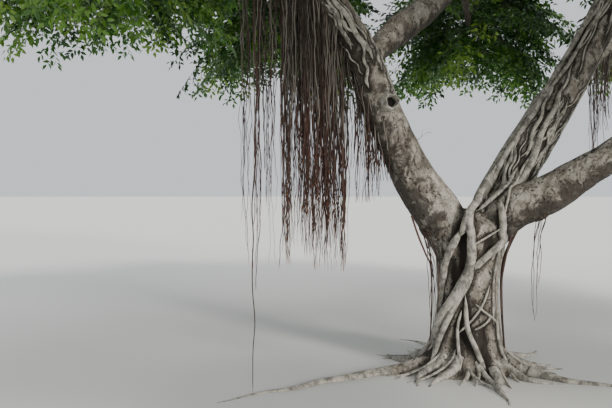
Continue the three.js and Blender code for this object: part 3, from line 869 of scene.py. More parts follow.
def foot_lines():
    """Slim roots that leave the trunk between its buttresses."""
    random = np.random.default_rng(FOOT_ROOTS.seed)
    ranges = (FOOT_ROOTS.reach, FOOT_ROOTS.rise, FOOT_ROOTS.radius)
    lines = []
    for index in range(FOOT_ROOTS.count):
        azimuth = 360 * (index + random.random()) / FOOT_ROOTS.count
        sizes = [random.uniform(*least_and_most) for least_and_most in ranges]
        drift = random.uniform(-1, 1) * FOOT_ROOTS.drift
        lines.append(buttress_line(azimuth, *sizes, drift, random.uniform(*FOOT_ROOTS.fall)))
    for row in BUTTRESSES:
        lines.append(buttress_line(*row, part=(SLIM.within, 1)))
    return [let_in(*line, random.uniform(0, 2 * math.pi)) for line in lines]


def let_in(points, radii, phase):
    """A root on the ground that winds a little and goes down into it at its end."""
    share = np.linspace(0, 1, len(points))
    points = points.copy()
    points[:, 2] -= (points[:, 2] + SLIM.sunk * radii) * share**3
    ahead = unit(points[-1] - points[0])
    aside = unit(np.cross(UP, ahead))
    length = np.linalg.norm(points[-1] - points[0])
    wind = np.sin(phase + 2 * math.pi * share * length / SLIM.wave) - math.sin(phase)
    wind = SLIM.wind * wind * smoothstep(0, SLIM.winding_from, share)
    return points + aside * wind[:, None], radii


def wrapping_lines():
    """Middle lines and radii of all the roots that wrap the trunk and hug the boughs."""
    lines = [graft_line(rows) for rows in GRAFTED_ROOTS]
    lines += [bridge_line(rows) for rows in BRIDGING_ROOTS]
    for name, rows in HUGGING_ROOTS.items():
        lines += [hug_line(LIMBS["bough_" + name], *row) for row in rows]
    random = np.random.default_rng(NET.seed)
    for name, count, starts, lengths, angles in NETS:
        for _ in range(count):
            start = random.uniform(*starts)
            end = start + random.uniform(*lengths)
            angle = random.uniform(*angles)
            turned = angle + random.choice((-1, 1)) * random.uniform(NET.least_turn, 1) * NET.turn
            radius = random.uniform(NET.thinnest, NET.thickest)
            phase = random.uniform(0, 2 * math.pi)
            lines.append(hug_line(LIMBS["bough_" + name], start, end, angle, turned, radius, phase))
    return lines


class Socket:
    """A number in a shader. Arithmetic on it adds the nodes that work it out."""

    def __init__(self, shader, link):
        self.shader = shader
        self.link = link

    def _math(self, operation, *terms):
        return self.shader.node("ShaderNodeMath", {"operation": operation}, *terms)

    def __add__(self, other):
        return self._math("ADD", self, other)

    def __mul__(self, other):
        return self._math("MULTIPLY", self, other)

    def __sub__(self, other):
        return self._math("SUBTRACT", self, other)

    def __rsub__(self, other):
        return self._math("SUBTRACT", other, self)

    def clamped(self):
        return self.shader.node("ShaderNodeClamp", {}, self)

    __radd__ = __add__
    __rmul__ = __mul__


class Shader:
    """A material whose nodes are made by calls, with one Principled shader at its end."""

    def __init__(self, name, **fixed):
        self.material = bpy.data.materials.new(name)
        self.material.use_nodes = True
        self.tree = self.material.node_tree
        self.surface = self.tree.nodes["Principled BSDF"]
        for socket, value in fixed.items():
            self.surface.inputs[socket.replace("_", " ").title()].default_value = value

    def node(self, kind, settings, *values, output=0, **named):
        """Any node: its settings first, then what its sockets take, in order or by name."""
        node = self.tree.nodes.new(kind)
        for key, value in settings.items():
            setattr(node, key, value)
        for key, value in [*enumerate(values), *named.items()]:
            self.plug(node.inputs[key if isinstance(key, int) else key.replace("_", " ").title()], value)
        return Socket(self, node.outputs[output])

    def plug(self, socket, value):
        if isinstance(value, Socket):
            self.tree.links.new(value.link, socket)
        else:
            socket.default_value = value

    def feed(self, **inputs):
        """Feeds the Principled shader's own sockets."""
        for key, value in inputs.items():
            self.plug(self.surface.inputs[key.replace("_", " ").title()], value)

    def place(self):
        return self.node("ShaderNodeTexCoord", {}, output="Object")

    def stretched(self, place, scale):
        return self.node("ShaderNodeMapping", {}, place, Scale=scale)

    def noise(self, place, scale, detail=4.0, roughness=0.55, distortion=0.0):
        return self.node(
            "ShaderNodeTexNoise", {}, Vector=place, Scale=scale, Detail=detail,
            Roughness=roughness, Distortion=distortion,
        )

    def cells(self, place, scale):
        return self.node("ShaderNodeTexVoronoi", {}, Vector=place, Scale=scale)

    def attribute(self, name):
        return self.node("ShaderNodeAttribute", {"attribute_name": name}, output="Fac")

    def ramp(self, value, low, high):
        """0 up to low, 1 from high, and smooth between."""
        settings = {"interpolation_type": "SMOOTHSTEP"}
        return self.node("ShaderNodeMapRange", settings, value, low, high)

    def mix(self, share, first, second):
        node = self.tree.nodes.new("ShaderNodeMix")
        node.data_type = "RGBA"
        self.plug(node.inputs[0], share)
        self.plug(node.inputs[6], first)
        self.plug(node.inputs[7], second)
        return Socket(self, node.outputs[2])

    def bump(self, height, strength, distance):
        return self.node(
            "ShaderNodeBump", {}, Height=height, Strength=strength, Distance=distance
        )


def rgba(colour):
    return (*colour, 1.0)


def colour_setting(name, description, default):
    return FloatVectorProperty(name=name, description=description, default=default, subtype="COLOR")


def length_setting(name, description, default, **limits):
    return FloatProperty(
        name=name, description=description, default=default, unit="LENGTH", **limits
    )


class BanyanBark(bpy.types.PropertyGroup):
    """Sizes and colours of the bark."""

    voxel: length_setting(
        "Grain of the mesh", "Edge length of the cells that the bark's mesh is made from", 0.0135,
        min=0.006,
    )
    relief: length_setting("Relief", "How deep the bark's lumps and furrows are", 0.011)
    plain: colour_setting("Bark", "Colour of the bark between its patches", (0.205, 0.175, 0.138))
    pale: colour_setting("Pale patches", "Colour of the bark's pale patches", (0.52, 0.485, 0.42))
    # The dark colour is also painted shade: in the furrows, beside the roots, in the hollows and on the
    # undersides.
    dark: colour_setting("Furrows", "Colour in the bark's pits and furrows", (0.030, 0.023, 0.017))
    root: colour_setting(
        "Wrapping roots", "Colour of the roots on the trunk and boughs", (0.46, 0.43, 0.37)
    )


class BanyanRoots(bpy.types.PropertyGroup):
    """Sizes and colours of the hanging aerial roots."""

    fullness: FloatProperty(
        name="Fullness",
        description="How many fine strands hang, as a share of the usual number",
        default=1.0,
        min=0.2,
    )
    thickest: length_setting("Thickest strand", "Largest radius of a fine strand at its top", 0.0075)
    thinnest: length_setting("Thinnest strand", "Smallest radius of a fine strand at its top", 0.003)
    top: colour_setting("Upper roots", "Colour of the hanging roots near their limb", (0.070, 0.050, 0.038))
    lower: colour_setting("Lower roots", "Colour of the hanging roots lower down", (0.078, 0.032, 0.021))
    tip: colour_setting("Root tips", "Colour of the hanging roots' growing tips", (0.36, 0.14, 0.05))


class BanyanFoliage(bpy.types.PropertyGroup):
    """Sizes and colours of the twigs and leaves."""

    fine_twigs: IntProperty(
        name="Finer twigs",
        description="Twigs in each mass of foliage besides its first ones",
        default=21,
        min=0,
    )
    sprays: IntProperty(
        name="Sprays",
        description="Sprays of leaves on each twig",
        default=8,
        min=2,
    )
    leaf_length: length_setting("Leaf length", "Length of a leaf's blade", 0.092)
    leaf_width: length_setting("Leaf width", "Width of a leaf's blade", 0.046)
    # The deep tint is painted shade, and the fresh and bright tints are painted sunlight on the leaves.
    deep: colour_setting("Deep green", "Colour of the oldest leaves", (0.022, 0.075, 0.012))
    green: colour_setting("Green", "Colour of most leaves", (0.050, 0.150, 0.018))
    fresh: colour_setting("Fresh green", "Colour of this year's leaves", (0.120, 0.270, 0.026))
    bright: colour_setting("Bright green", "Colour of the newest leaves", (0.190, 0.340, 0.040))


class BanyanStage(bpy.types.PropertyGroup):
    """The floor and the light."""

    floor: colour_setting("Floor", "Colour of the studio floor", (0.72, 0.71, 0.68))
    backdrop: colour_setting("Backdrop", "Colour of the light all round", (0.86, 0.90, 0.95))
    ambient: FloatProperty(
        name="Light all round",
        description="Strength of the light all round",
        default=0.9,
    )
    key: FloatProperty(
        name="Main light",
        description="Strength of the soft light from the viewer's right",
        default=2.0,
    )
    low: FloatProperty(
        name="Low light",
        description="Strength of the light that reaches in under the crown",
        default=2.6,
    )


def bark_finish(bark):
    """Grey-beige bark with pale patches and dark pits, and painted shade in its furrows, in its hollows,
    on its undersides and beside its roots.
    """
    shader = Shader("Bark", roughness=0.88)
    place = shader.place()
    upright = shader.stretched(place, (1.0, 1.0, 0.6))
    patches = shader.ramp(shader.noise(place, 4.0, 5.0, 0.6, 0.5), 0.44, 0.62)
    mottle = shader.ramp(shader.noise(upright, 19.0, 8.0, 0.72, 0.8), 0.42, 0.60)
    grain = shader.noise(upright, 80.0, 6.0, 0.75)
    pitted = shader.ramp(shader.noise(place, 5.0, 2.0), 0.42, 0.58)
    pits = shader.ramp(shader.cells(place, 30.0), 0.34, 0.12) * pitted
    # Painted shade: the bark is darker where its relief sinks into furrows.
    furrows = shader.ramp(shader.attribute("relief"), 0.50, 0.24)
    # Painted shade on the underside of the wood, which also draws the dark blotches there.
    under = shader.attribute("underside")
    stains_and_underside_shade = shader.ramp(shader.noise(place, 10.0, 7.0, 0.7, 0.6) + under * 0.24, 0.55, 0.66)
    colour = shader.mix(patches * 0.45 + mottle * 0.55, rgba(bark.plain), rgba(bark.pale))
    colour = shader.mix(stains_and_underside_shade * 0.8, colour, rgba(bark.dark))
    specks = shader.ramp(grain, 0.50, 0.34) * 0.6
    # The bark's own dark specks and pits, with the painted shade of the furrows and of the underside.
    dark = specks + pits * 0.8 + furrows * 0.6 + under * 0.3
    # Painted shade beside the roots and in the hollows between them.
    gaps = shader.attribute("beside_roots") * 0.9 + shader.attribute("hollow")
    colour = shader.mix((dark + gaps).clamped(), colour, rgba(bark.dark))
    height = mottle * 0.45 + grain * 0.6 - pits * 0.9
    shader.feed(base_color=colour, normal=shader.bump(height, 0.85, 0.010))
    return shader.material


def root_finish(bark):
    """Smooth pale root bark, streaked along the root."""
    shader = Shader("Root bark", roughness=0.82)
    place = shader.place()
    patches = shader.noise(place, 12.0, 6.0, 0.65, 0.4)
    streaks = shader.noise(shader.stretched(place, (1.0, 1.0, 0.3)), 60.0, 5.0, 0.65)
    cracks = shader.ramp(shader.noise(shader.stretched(place, (0.6, 0.6, 3.0)), 26.0, 3.0), 0.34, 0.27)
    share = shader.ramp(patches * 0.6 + streaks * 0.4, 0.40, 0.58)
    darker = tuple(0.30 * part for part in bark.root)
    colour = shader.mix(share, rgba(darker), rgba(bark.root))
    colour = shader.mix(cracks * 0.7, colour, rgba(bark.dark))
    height = streaks * 0.7 + patches * 0.5 - cracks * 0.6
    shader.feed(base_color=colour, normal=shader.bump(height, 0.6, 0.005))
    return shader.material


def plain_finish(name, colour, roughness):
    shader = Shader(name, roughness=roughness)
    shader.feed(base_color=rgba(colour))
    return shader.material


def mixed(first, second, share):
    return tuple(a + (b - a) * share for a, b in zip(first, second))


def hanging_finishes(roots, pale):
    """Finishes of the hanging roots: so many tones of their upper part, as many of their lower one,
    and that of their tips."""
    return [
        plain_finish("Dark root", mixed(roots.top, BLACK, 0.45), 0.85),
        plain_finish("Old root", roots.top, 0.85),
        plain_finish("Weathered root", mixed(roots.top, pale, 0.3), 0.85),
        plain_finish("Dark brown root", mixed(roots.lower, BLACK, 0.5), 0.75),
        plain_finish("Brown root", mixed(roots.lower, roots.top, 0.6), 0.75),
        plain_finish("Red-brown root", roots.lower, 0.7),
        plain_finish("Root tip", roots.tip, 0.6),
    ]


def twig_finishes(bark, foliage):
    """Finishes of the stems, the twigs and the sprays' own wood."""
    return [
        plain_finish("Stem bark", mixed(bark.plain, bark.dark, 0.35), 0.85),
        plain_finish("Twig bark", mixed(bark.plain, bark.dark, 0.6), 0.8),
        plain_finish("Green twig", mixed(foliage.green, bark.plain, 0.55), 0.7),
    ]


def leaf_finishes(foliage):
    """Finishes of the leaves, from the darkest, painted shade, to the brightest, painted sunlight."""
    tints = {
        "Deep leaf": foliage.deep,
        "Green leaf": foliage.green,
        "Fresh leaf": foliage.fresh,
        "Bright leaf": foliage.bright,
    }
    return [plain_finish(name, tint, LEAF.roughness) for name, tint in tints.items()]


def ride_and_replace(piece, nodes):
    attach(piece, "root")
    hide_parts(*nodes)


def rough_wood():
    """The trunk, buttresses and boughs as overlapping closed tubes."""
    mould = Mould()
    mould.add(*trunk_core())
    for row in BUTTRESSES:
        mould.add(*tube(*buttress_line(*row, part=(0, SLIM.beyond)), BUTTRESS.sides))
    share = np.linspace(0, 1, BOUGH.rings)
    for name in BOUGHS:
        limb = LIMBS["bough_" + name]
        mould.add(*tube(limb.at(share), limb.radius_at(share), BOUGH.sides))
    return mould.cast("rough_wood")


def cut_at_ground(mesh):
    """Cuts a closed mesh flat at the ground, and closes the cut."""
    form = bmesh.new()
    form.from_mesh(mesh)
    everything = [*form.verts, *form.edges, *form.faces]
    cut = bmesh.ops.bisect_plane(
        form, geom=everything, plane_co=(0, 0, 0), plane_no=(0, 0, 1), clear_inner=True
    )
    rim = [item for item in cut["geom_cut"] if isinstance(item, bmesh.types.BMEdge)]
    bmesh.ops.triangle_fill(form, edges=rim, use_beauty=True)
    bmesh.ops.recalc_face_normals(form, faces=form.faces)
    form.to_mesh(mesh)
    form.free()


def pattern_at(kind, x, y, z):
    return noise.noise((x * kind.across, y * kind.across, z * kind.up + kind.start))


def bark_height(x, y, z):
    """Height of the bark's relief at a point, from about -1 in a furrow to 1 on a lump."""
    lump = pattern_at(LUMPS, x, y, z)
    knob = pattern_at(KNOBS, x, y, z)
    furrow = 1 - min(1.0, abs(pattern_at(FURROWS, x, y, z)) / FURROWS.width)
    return LUMPS.size * lump + KNOBS.size * knob - FURROWS.size * furrow * furrow


def raise_relief(mesh, depth, lines):
    """Moves the bark out and in by its relief, and stores the relief and the painted shade: beside
    roots by how near they lie, in the hollows and on the underside.
    """
    count = len(mesh.vertices)
    points = np.empty(count * 3, np.float32)
    normals = np.empty(count * 3, np.float32)
    mesh.vertices.foreach_get("co", points)
    mesh.vertex_normals.foreach_get("vector", normals)
    points, normals = points.reshape(-1, 3), normals.reshape(-1, 3)
    heights = np.array([bark_height(*point) for point in points.tolist()])
    grounded = points[:, 2] < ON_GROUND
    moved = points + normals * (heights * depth)[:, None]
    moved[:, 2] = np.where(grounded, points[:, 2], np.maximum(moved[:, 2], 0.0))
    mesh.vertices.foreach_set("co", moved.astype(np.float32).ravel())
    turns = np.arctan2(points[:, 1], points[:, 0])
    on_trunk = 1 - smoothstep(*HOLLOWS_FADE, np.hypot(points[:, 0], points[:, 1]))
    # Marks for painted shade beside the roots, in the hollows and on the underside of the wood.
    marks = {
        "relief": heights * 0.5 + 0.5,
        "beside_roots": nearness(points, lines),
        "hollow": np.clip(hollow_depth(points[:, 2], turns) / HOLLOW_SHADE_DEPTH, 0, 1) * on_trunk,
        "underside": underside(normals[:, 2], points[:, 2]),
    }
    store_marks(mesh, marks)
    mesh.update()


def underside(leaning, heights):
    """Painted shade: 1 on the underside of the wood, and 0 on its upper side and near the ground."""
    return (1 - smoothstep(*UNDERSIDE_SHADE.facing, leaning)) * smoothstep(*UNDERSIDE_SHADE.height, heights)


def store_marks(mesh, marks):
    """Stores numbers at a mesh's vertices, under the names that its material reads."""
    for name, values in marks.items():
        layer = mesh.attributes.new(name, "FLOAT", "POINT")
        layer.data.foreach_set("value", np.asarray(values, np.float32))


def nearness(points, lines):
    """Painted shade beside roots: 1 where a point touches a root, falling to 0 a few centimetres away from
    it.
    """
    roots = np.vstack([line for line, _ in lines])
    radii = np.concatenate([np.broadcast_to(radius, len(line)) for line, radius in lines])
    tree = kdtree.KDTree(len(roots))
    for index, root in enumerate(roots.tolist()):
        tree.insert(root, index)
    tree.balance()
    gaps = []
    for point in points.tolist():
        _, index, distance = tree.find(point)
        radius = radii[index]
        gaps.append((distance - radius) / (ROOT_SHADE + SHADE_PER_RADIUS * radius))
    return 1 - smoothstep(0.0, 1.0, np.array(gaps))


class BANYAN_OT_bark(bpy.types.Operator):
    """Covers the trunk, its buttresses and the main boughs with one skin of bark"""

    bl_idname = "banyan.bark"
    bl_label = "Trunk and boughs"

    def execute(self, context):
        bark = context.scene.banyan_bark
        rough = rough_wood()
        voxels = rough.modifiers.new("Fuse", "REMESH")
        voxels.mode = "VOXEL"
        voxels.voxel_size = bark.voxel
        smooth = rough.modifiers.new("Ease", "SMOOTH")
        smooth.factor = EASING.share
        smooth.iterations = EASING.rounds
        graph = context.evaluated_depsgraph_get()
        mesh = bpy.data.meshes.new_from_object(rough.evaluated_get(graph))
        bpy.data.objects.remove(rough)
        cut_at_ground(mesh)
        raise_relief(mesh, bark.relief, wrapping_lines())
        mesh.shade_smooth()
        mesh.materials.clear()
        mesh.materials.append(bark_finish(bark))
        mesh.name = "bark"
        piece = placed("bark", mesh)
        ride_and_replace(piece, ["trunk", *("bough_" + name for name in BOUGHS)])
        return {"FINISHED"}


def tapered_ends(radii):
    """Radii that thin out at both ends of a root, where it sinks into the bark."""
    share = np.linspace(0, 1, len(radii))
    end = smoothstep(0, GRAFT.taper, np.minimum(share, 1 - share))
    shift = GRAFT.lump_shift * radii[0] / GRAFT.step
    lumps = 1 + GRAFT.lumps * np.sin(share * len(radii) * GRAFT.lump_waves + shift)
    return radii * lumps * (GRAFT.thin_end + (1 - GRAFT.thin_end) * end)


def seated(line, radii, bark):
    """A root's line raised to the bark's surface wherever it lies below, and eased."""
    laid = []
    for point, radius in zip(line.tolist(), radii.tolist()):
        near, normal, _, _ = bark.find_nearest(point)
        height = (Vector(point) - near).dot(normal)
        seat = radius * GRAFT.seat
        laid.append(near + normal * seat if height < seat else point)
    laid = np.array(laid)
    padded = np.pad(laid, ((GRAFT.eased // 2, GRAFT.eased // 2), (0, 0)), "edge")
    window = np.ones(GRAFT.eased) / GRAFT.eased
    return np.stack([np.convolve(padded[:, axis], window, "valid") for axis in range(3)], axis=-1)


class BANYAN_OT_wrapping_roots(bpy.types.Operator):
    """Wraps the trunk and boughs in grafted aerial roots"""

    bl_idname = "banyan.wrapping_roots"
    bl_label = "Wrapping roots"

    def execute(self, context):
        mould = Mould()
        bark = BVHTree.FromObject(bpy.data.objects["bark"], context.evaluated_depsgraph_get())
        for line, radius in wrapping_lines():
            radii = tapered_ends(np.broadcast_to(radius, len(line)))
            sides = GRAFT.sides if radii.max() > GRAFT.fine else GRAFT.fine_sides
            mould.add(*tube(seated(line, radii, bark), radii, sides))
        for line, radii in foot_lines():
            points, faces = tube(line, radii, GRAFT.sides)
            points[:, 2] = np.maximum(points[:, 2], 0)
            mould.add(points, faces)
        piece = mould.cast("wrapping_roots", [root_finish(context.scene.banyan_bark)])
        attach(piece, "root")
        return {"FINISHED"}


def stub_collar():
    """The collar and hollow of the pruned stub: a turned shape about the way it faces."""
    limb = LIMBS["bough_left"]
    facing = unit(np.array(STUB.facing))
    middle = limb.at(STUB.along) + facing * limb.radius_at(STUB.along)
    level = unit(np.cross(UP, facing))
    upright = np.cross(facing, level)
    profile = [
        (STUB.reach * 1.15, STUB.sunk),
        (STUB.reach, 0.0),
        (STUB.reach * 0.88, STUB.proud * 0.75),
        (STUB.reach * 0.72, STUB.proud),
        (STUB.hollow * 1.2, STUB.proud * 0.92),
        (STUB.hollow, STUB.proud * 0.6),
        (STUB.hollow * 0.86, STUB.floor * 1.2),
        (STUB.hollow * 0.2, STUB.floor),
    ]
    turns = even_turns(STUB.sides)
    uneven = sum((size * np.sin(count * turns + start) for count, start, size in STUB.wavering), 1)
    rings = []
    for radius, height in profile:
        across = radius * uneven[:, None] * (
            np.cos(turns)[:, None] * level + np.sin(turns)[:, None] * upright
        )
        rings.append(middle + facing * height + across)
    return skin(np.array(rings))


class BANYAN_OT_stub(bpy.types.Operator):
    """Turns the collar of the pruned stub on the left bough, and adds the dead twigs above it"""

    bl_idname = "banyan.stub"
    bl_label = "Pruned stub and dead twigs"

    def execute(self, context):
        bark = context.scene.banyan_bark
        mould = Mould()
        for start, end, radius in DEAD_TWIGS:
            mould.add(*spikes(np.array([start]), np.array([end]), np.array([radius])))
        points, faces = stub_collar()
        # Faces in and near the stub's hole get a near-black finish: painted shade.
        away = np.linalg.norm(points[faces].mean(axis=1) - points[-1], axis=-1)
        shaded_hollow = away < STUB.hollow * STUB.dark_edge
        mould.add(points, faces, shaded_hollow.astype(int))
        finishes = [root_finish(bark), plain_finish("Hollow", mixed(bark.dark, BLACK, 0.7), 0.95)]
        piece = mould.cast("pruned_stub", finishes)
        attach(piece, "root")
        return {"FINISHED"}


def limb_skin(limb):
    """A side limb's lumpy skin, with a swollen collar where it leaves its bough."""
    share = np.linspace(0, 1, LIMB.rings)
    points = limb.at(share)
    along = np.concatenate([[0], np.cumsum(np.linalg.norm(np.diff(points, axis=0), axis=1))])
    collar = 1 + LIMB.collar * np.exp(-along / LIMB.collar_length)
    lumps = sum(
        size * np.sin(count * even_turns(LIMB.sides) + winding * along[:, None])
        for count, winding, size in LIMB.lumps
    )
    return tube(points, (limb.radius_at(share) * collar)[:, None] * (1 + lumps), LIMB.sides)


class BANYAN_OT_limbs(bpy.types.Operator):
    """Grows the side limbs"""

    bl_idname = "banyan.limbs"
    bl_label = "Side limbs"

    def execute(self, context):
        mould = Mould()
        names = [name for name in LIMBS if name.startswith("limb_")]
        for name in names:
            mould.add(*limb_skin(LIMBS[name]))
        piece = mould.cast("side_limbs", [bark_finish(context.scene.banyan_bark)])
        count = len(piece.data.vertices)
        normals = np.empty(count * 3, np.float32)
        piece.data.vertex_normals.foreach_get("vector", normals)
        plain = np.zeros(count)
        # Painted shade on the side limbs' undersides, and none beside roots or in hollows.
        marks = {"relief": plain + LIMB_RELIEF, "beside_roots": plain, "hollow": plain}
        marks["underside"] = underside(normals[2::3], plain + LIMB_HEIGHT)
        store_marks(piece.data, marks)
        ride_and_replace(piece, names)
        return {"FINISHED"}


def curtain_strands(row, roll):
    """The source's strands of one curtain: where each starts, ends and leans. The source draws one
    more number for each, its place across the limb, which the finer strands spread over."""
    name, start, end, count, lowest, highest = row[:6]
    limb = LIMBS[name]
    strands = []
    for index in range(count):
        share = (index + 0.25 + 0.5 * roll()) / count
        along = start + (end - start) * share
        roll()
        tip = lowest + (highest - lowest) * roll()
        lean = 2 * math.pi * roll()
        strands.append(Sizes(limb=limb, along=along, tip=tip, lean=lean))
    return strands


def under_limb(limb, along, sideways=0.0):
    """A point on a limb's underside, set sideways round it by an angle."""
    heading = limb.heading(along)
    under = unit(heading * heading[2] - UP)
    beside = np.cross(heading, under)
    round_it = under * math.cos(sideways) + beside * math.sin(sideways)
    return limb.at(along) + round_it * limb.radius_at(along)


def fine_strand(top, strand, radius, random, unevenness=CURTAIN.uneven_length):
    """One fine root that hangs from a point, gathers towards its main strand, sways as that does
    and wavers a little."""
    share = np.linspace(0, 1, CURTAIN.rings)
    drop = top[2] - strand.tip
    drop *= 1 - unevenness * random.uniform(*CURTAIN.shortening) ** 2
    swing = strand.lean + CURTAIN.swirl * share
    line = top + compass(swing, CURTAIN.sway * share, -drop * share)
    gathered = random.uniform(*CURTAIN.gathering)
    gathered *= smoothstep(0, random.uniform(*CURTAIN.gathered_by), share)
    line[:, :2] += gathered[:, None] * (strand.limb.at(strand.along) - top)[:2]
    for axis in (0, 1):
        for length, size in CURTAIN.waves:
            phase = random.uniform(0, 2 * math.pi)
            stretched = length * random.uniform(*CURTAIN.wave_length)
            turns = 2 * math.pi * drop * share / stretched + phase
            reach = size * random.uniform(*CURTAIN.wave_size)
            line[:, axis] += reach * (np.sin(turns) - math.sin(phase))
    radii = radius * (1 - CURTAIN.taper * share)
    radii[-1] = radius * CURTAIN.point
    return line, radii


class BANYAN_OT_aerial_roots(bpy.types.Operator):
    """Hangs the curtains of fine aerial roots from their limbs"""

    bl_idname = "banyan.aerial_roots"
    bl_label = "Hanging roots"

    def execute(self, context):
        roots = context.scene.banyan_roots
        finishes = hanging_finishes(roots, context.scene.banyan_bark.pale)
        for index, (name, row) in enumerate(CURTAINS.items()):
            mould = Mould()
            roll = dice(CURTAIN.seed + CURTAIN.seed_step * index)
            random = np.random.default_rng(CURTAIN.seed + index)
            self.add_twining_roots(mould, row, random)
            for strand in curtain_strands(row, roll):
                for _ in range(max(1, round(row[6] * roots.fullness))):
                    self.add_fine_strand(mould, row, strand, roots, random)
            if index == 0:
                self.add_lone_roots(mould, roots, random)
            piece = mould.cast("fine_" + name, finishes)
            ride_and_replace(piece, [name])
        return {"FINISHED"}

    def add_fine_strand(self, mould, row, strand, roots, random):
        """A strand in one tone above, another below, and with a bright tip."""
        along = strand.along + random.normal() * CURTAIN.spread
        along = min(max(along, row[1]), row[2])
        sideways = random.normal() * CURTAIN.round_limb
        top = under_limb(strand.limb, along, sideways) + UP * CURTAIN.inside_limb
        radius = roots.thinnest + (roots.thickest - roots.thinnest) * random.random() ** 2
        line, radii = fine_strand(top, strand, radius, random)
        points, faces = tube(line, radii, CURTAIN.sides)
        ring = np.arange(len(faces)) // (2 * CURTAIN.sides)
        share = np.minimum(ring / (CURTAIN.rings - 1), 1)
        tone = random.integers(TONES)
        brown_from = CURTAIN.brown_from + CURTAIN.uneven_brown * random.random()
        finish = np.where(share < brown_from, tone, TONES + random.integers(TONES))
        mould.add(points, faces, np.where(share >= CURTAIN.tip_from, 2 * TONES, finish))

    def add_lone_roots(self, mould, roots, random):
        """The roots that hang alone, and the loose ones beside the trunk."""
        for name, along, tip in LONE_ROOTS:
            strand = Sizes(limb=LIMBS[name], along=along, tip=tip, lean=0.0)
            top = under_limb(strand.limb, along) + UP * CURTAIN.inside_limb
            line, radii = fine_strand(top, strand, roots.thickest, random, unevenness=0)
            mould.add(*tube(line, radii, CURTAIN.sides), TONES)
        for index, rows in enumerate(LOOSE_ROOTS):
            line, radii = bridge_line(rows)
            mould.add(*tube(line, radii, LOOSE_SIDES), TONES + index % TONES)

    def add_twining_roots(self, mould, row, random):
        """Roots that twine along the limb's underside, in either of the two darker tones."""
        name, start, end = row[:3]
        limb = LIMBS[name]
        share = np.linspace(0, 1, TWINING.rings)
        places = start + (end - start) * share
        radii = TWINING.radius * (1 - TWINING.thin_ends * np.abs(2 * share - 1) ** 3)
        for root in range(TWINING.count):
            phase = 2 * math.pi * root / TWINING.count
            sideways = TWINING.swing * np.sin(TWINING.waves * share + phase)
            line = np.array([under_limb(limb, along, side) for along, side in zip(places, sideways)])
            mould.add(*tube(line, radii, TWINING.sides), int(random.integers(2)))


def bezier(start, elbow, end, share):
    share = np.asarray(share, float)[..., None]
    return (1 - share) ** 2 * start + 2 * share * (1 - share) * elbow + share**2 * end


def drooping(direction):
    return unit(direction - UP * math.sin(math.radians(FOLIAGE.droop)))


def turned(direction, angle):
    """A direction turned about the upright by an angle."""
    x, y, z = direction
    cos, sin = math.cos(angle), math.sin(angle)
    return np.array([x * cos - y * sin, x * sin + y * cos, z])


def twig_end(index, direction):
    """Where a twig that heads out in a direction ends: as far out as its mass's space allows, with
    room for the spray at its end."""
    mass = MASSES[index]
    full = direction * (mass.ring.spread, mass.ring.spread, mass.ring.depth)
    spray = drooping(unit(full)) * SPRAY.length * FOLIAGE.end_room
    reaches = np.arange(FOLIAGE.reach, FOLIAGE.least_reach - A_LITTLE, -FOLIAGE.reach_step)
    ends = mass.middle + full * reaches[:, None]
    fits = in_space(index, ends + spray)
    return ends[np.argmax(fits)] if fits.any() else ends[-1]


def spray_corners(root, along, across, size):
    """The root, tip and two sides of the blade that a spray fills."""
    length = SPRAY.length * size
    half = root + along * length / 2
    side = across * SPRAY.width * size / 2
    return np.array([root, root + along * length, half + side, half - side])


def leaf_blades(roots, along, normals, length, width):
    """Leaves of three faces each: a pointed oval folded up along its midrib, its tip bent down."""
    across = np.cross(normals, along)
    outline = np.array(LEAF.outline)
    lift = LEAF.lift * np.abs(outline[:, 1]) * width - LEAF.bend * outline[:, 0] ** 2 * length
    points = (
        roots[:, None]
        + along[:, None] * (outline[:, :1] * length)
        + across[:, None] * (outline[:, 1:] * width)
        + normals[:, None] * lift[:, None]
    )
    faces = np.array(LEAF.folds) + len(outline) * np.arange(len(roots))[:, None, None]
    return points.reshape(-1, 3), faces.reshape(-1, 3)


def spikes(starts, ends, radii):
    """Slim three-sided spikes, one from each start to its end."""
    ways = unit(ends - starts)
    across = unit(np.cross(ways, OFF_UPRIGHT))
    front = np.cross(ways, across)
    corners = [
        starts + radii[:, None] * (math.cos(turn) * across + math.sin(turn) * front)
        for turn in (0, 2 * math.pi / 3, 4 * math.pi / 3)
    ]
    points = np.stack([*corners, ends], axis=1)
    sides = np.array([(0, 1, 3), (1, 2, 3), (2, 0, 3), (2, 1, 0)])
    faces = sides + 4 * np.arange(len(starts))[:, None, None]
    return points.reshape(-1, 3), faces.reshape(-1, 3)


def axis_at(share, length):
    """Points on a spray's axis, which starts along +X, bows aside and sags."""
    share = np.asarray(share, float)
    bow = SPRAY.bow * length * np.sin(SPRAY.bow_turn * share)
    return np.stack([length * share, bow, -SPRAY.sag * length * share**2], axis=-1)


def axis_wood(length):
    """The spikes that make up a spray's axis."""
    bends = axis_at(SPRAY.joints, length)
    thick = SPRAY.axis_radius * np.array(SPRAY.joint_radii)
    first = spikes(bends[:1], bends[1:2] * SPRAY.overrun, thick[:1] * SPRAY.thick_root)
    back = (bends[2:] - bends[1:3]) * SPRAY.overlap
    return first, spikes(bends[1:3] - back, bends[2:], thick[1:])


def leaf_run(start, end, count, random):
    """Roots and ways of leaves to the left and right in turn between two points, and of one more
    that goes on past the second."""
    way = unit(end - start)
    leaves = []
    for index in range(count + 1):
        share = (index + LEAF.first) / (count + LEAF.first)
        angle = 0 if index == count else math.radians(LEAF.angle) * (1 if index % 2 else -1)
        angle += random.normal() * LEAF.turn
        root = start + (end - start) * min(share, 1) + way * LEAF.stalk
        leaves.append((root, turned(way, angle) + random.normal(size=3) * LEAF.tip))
    return leaves


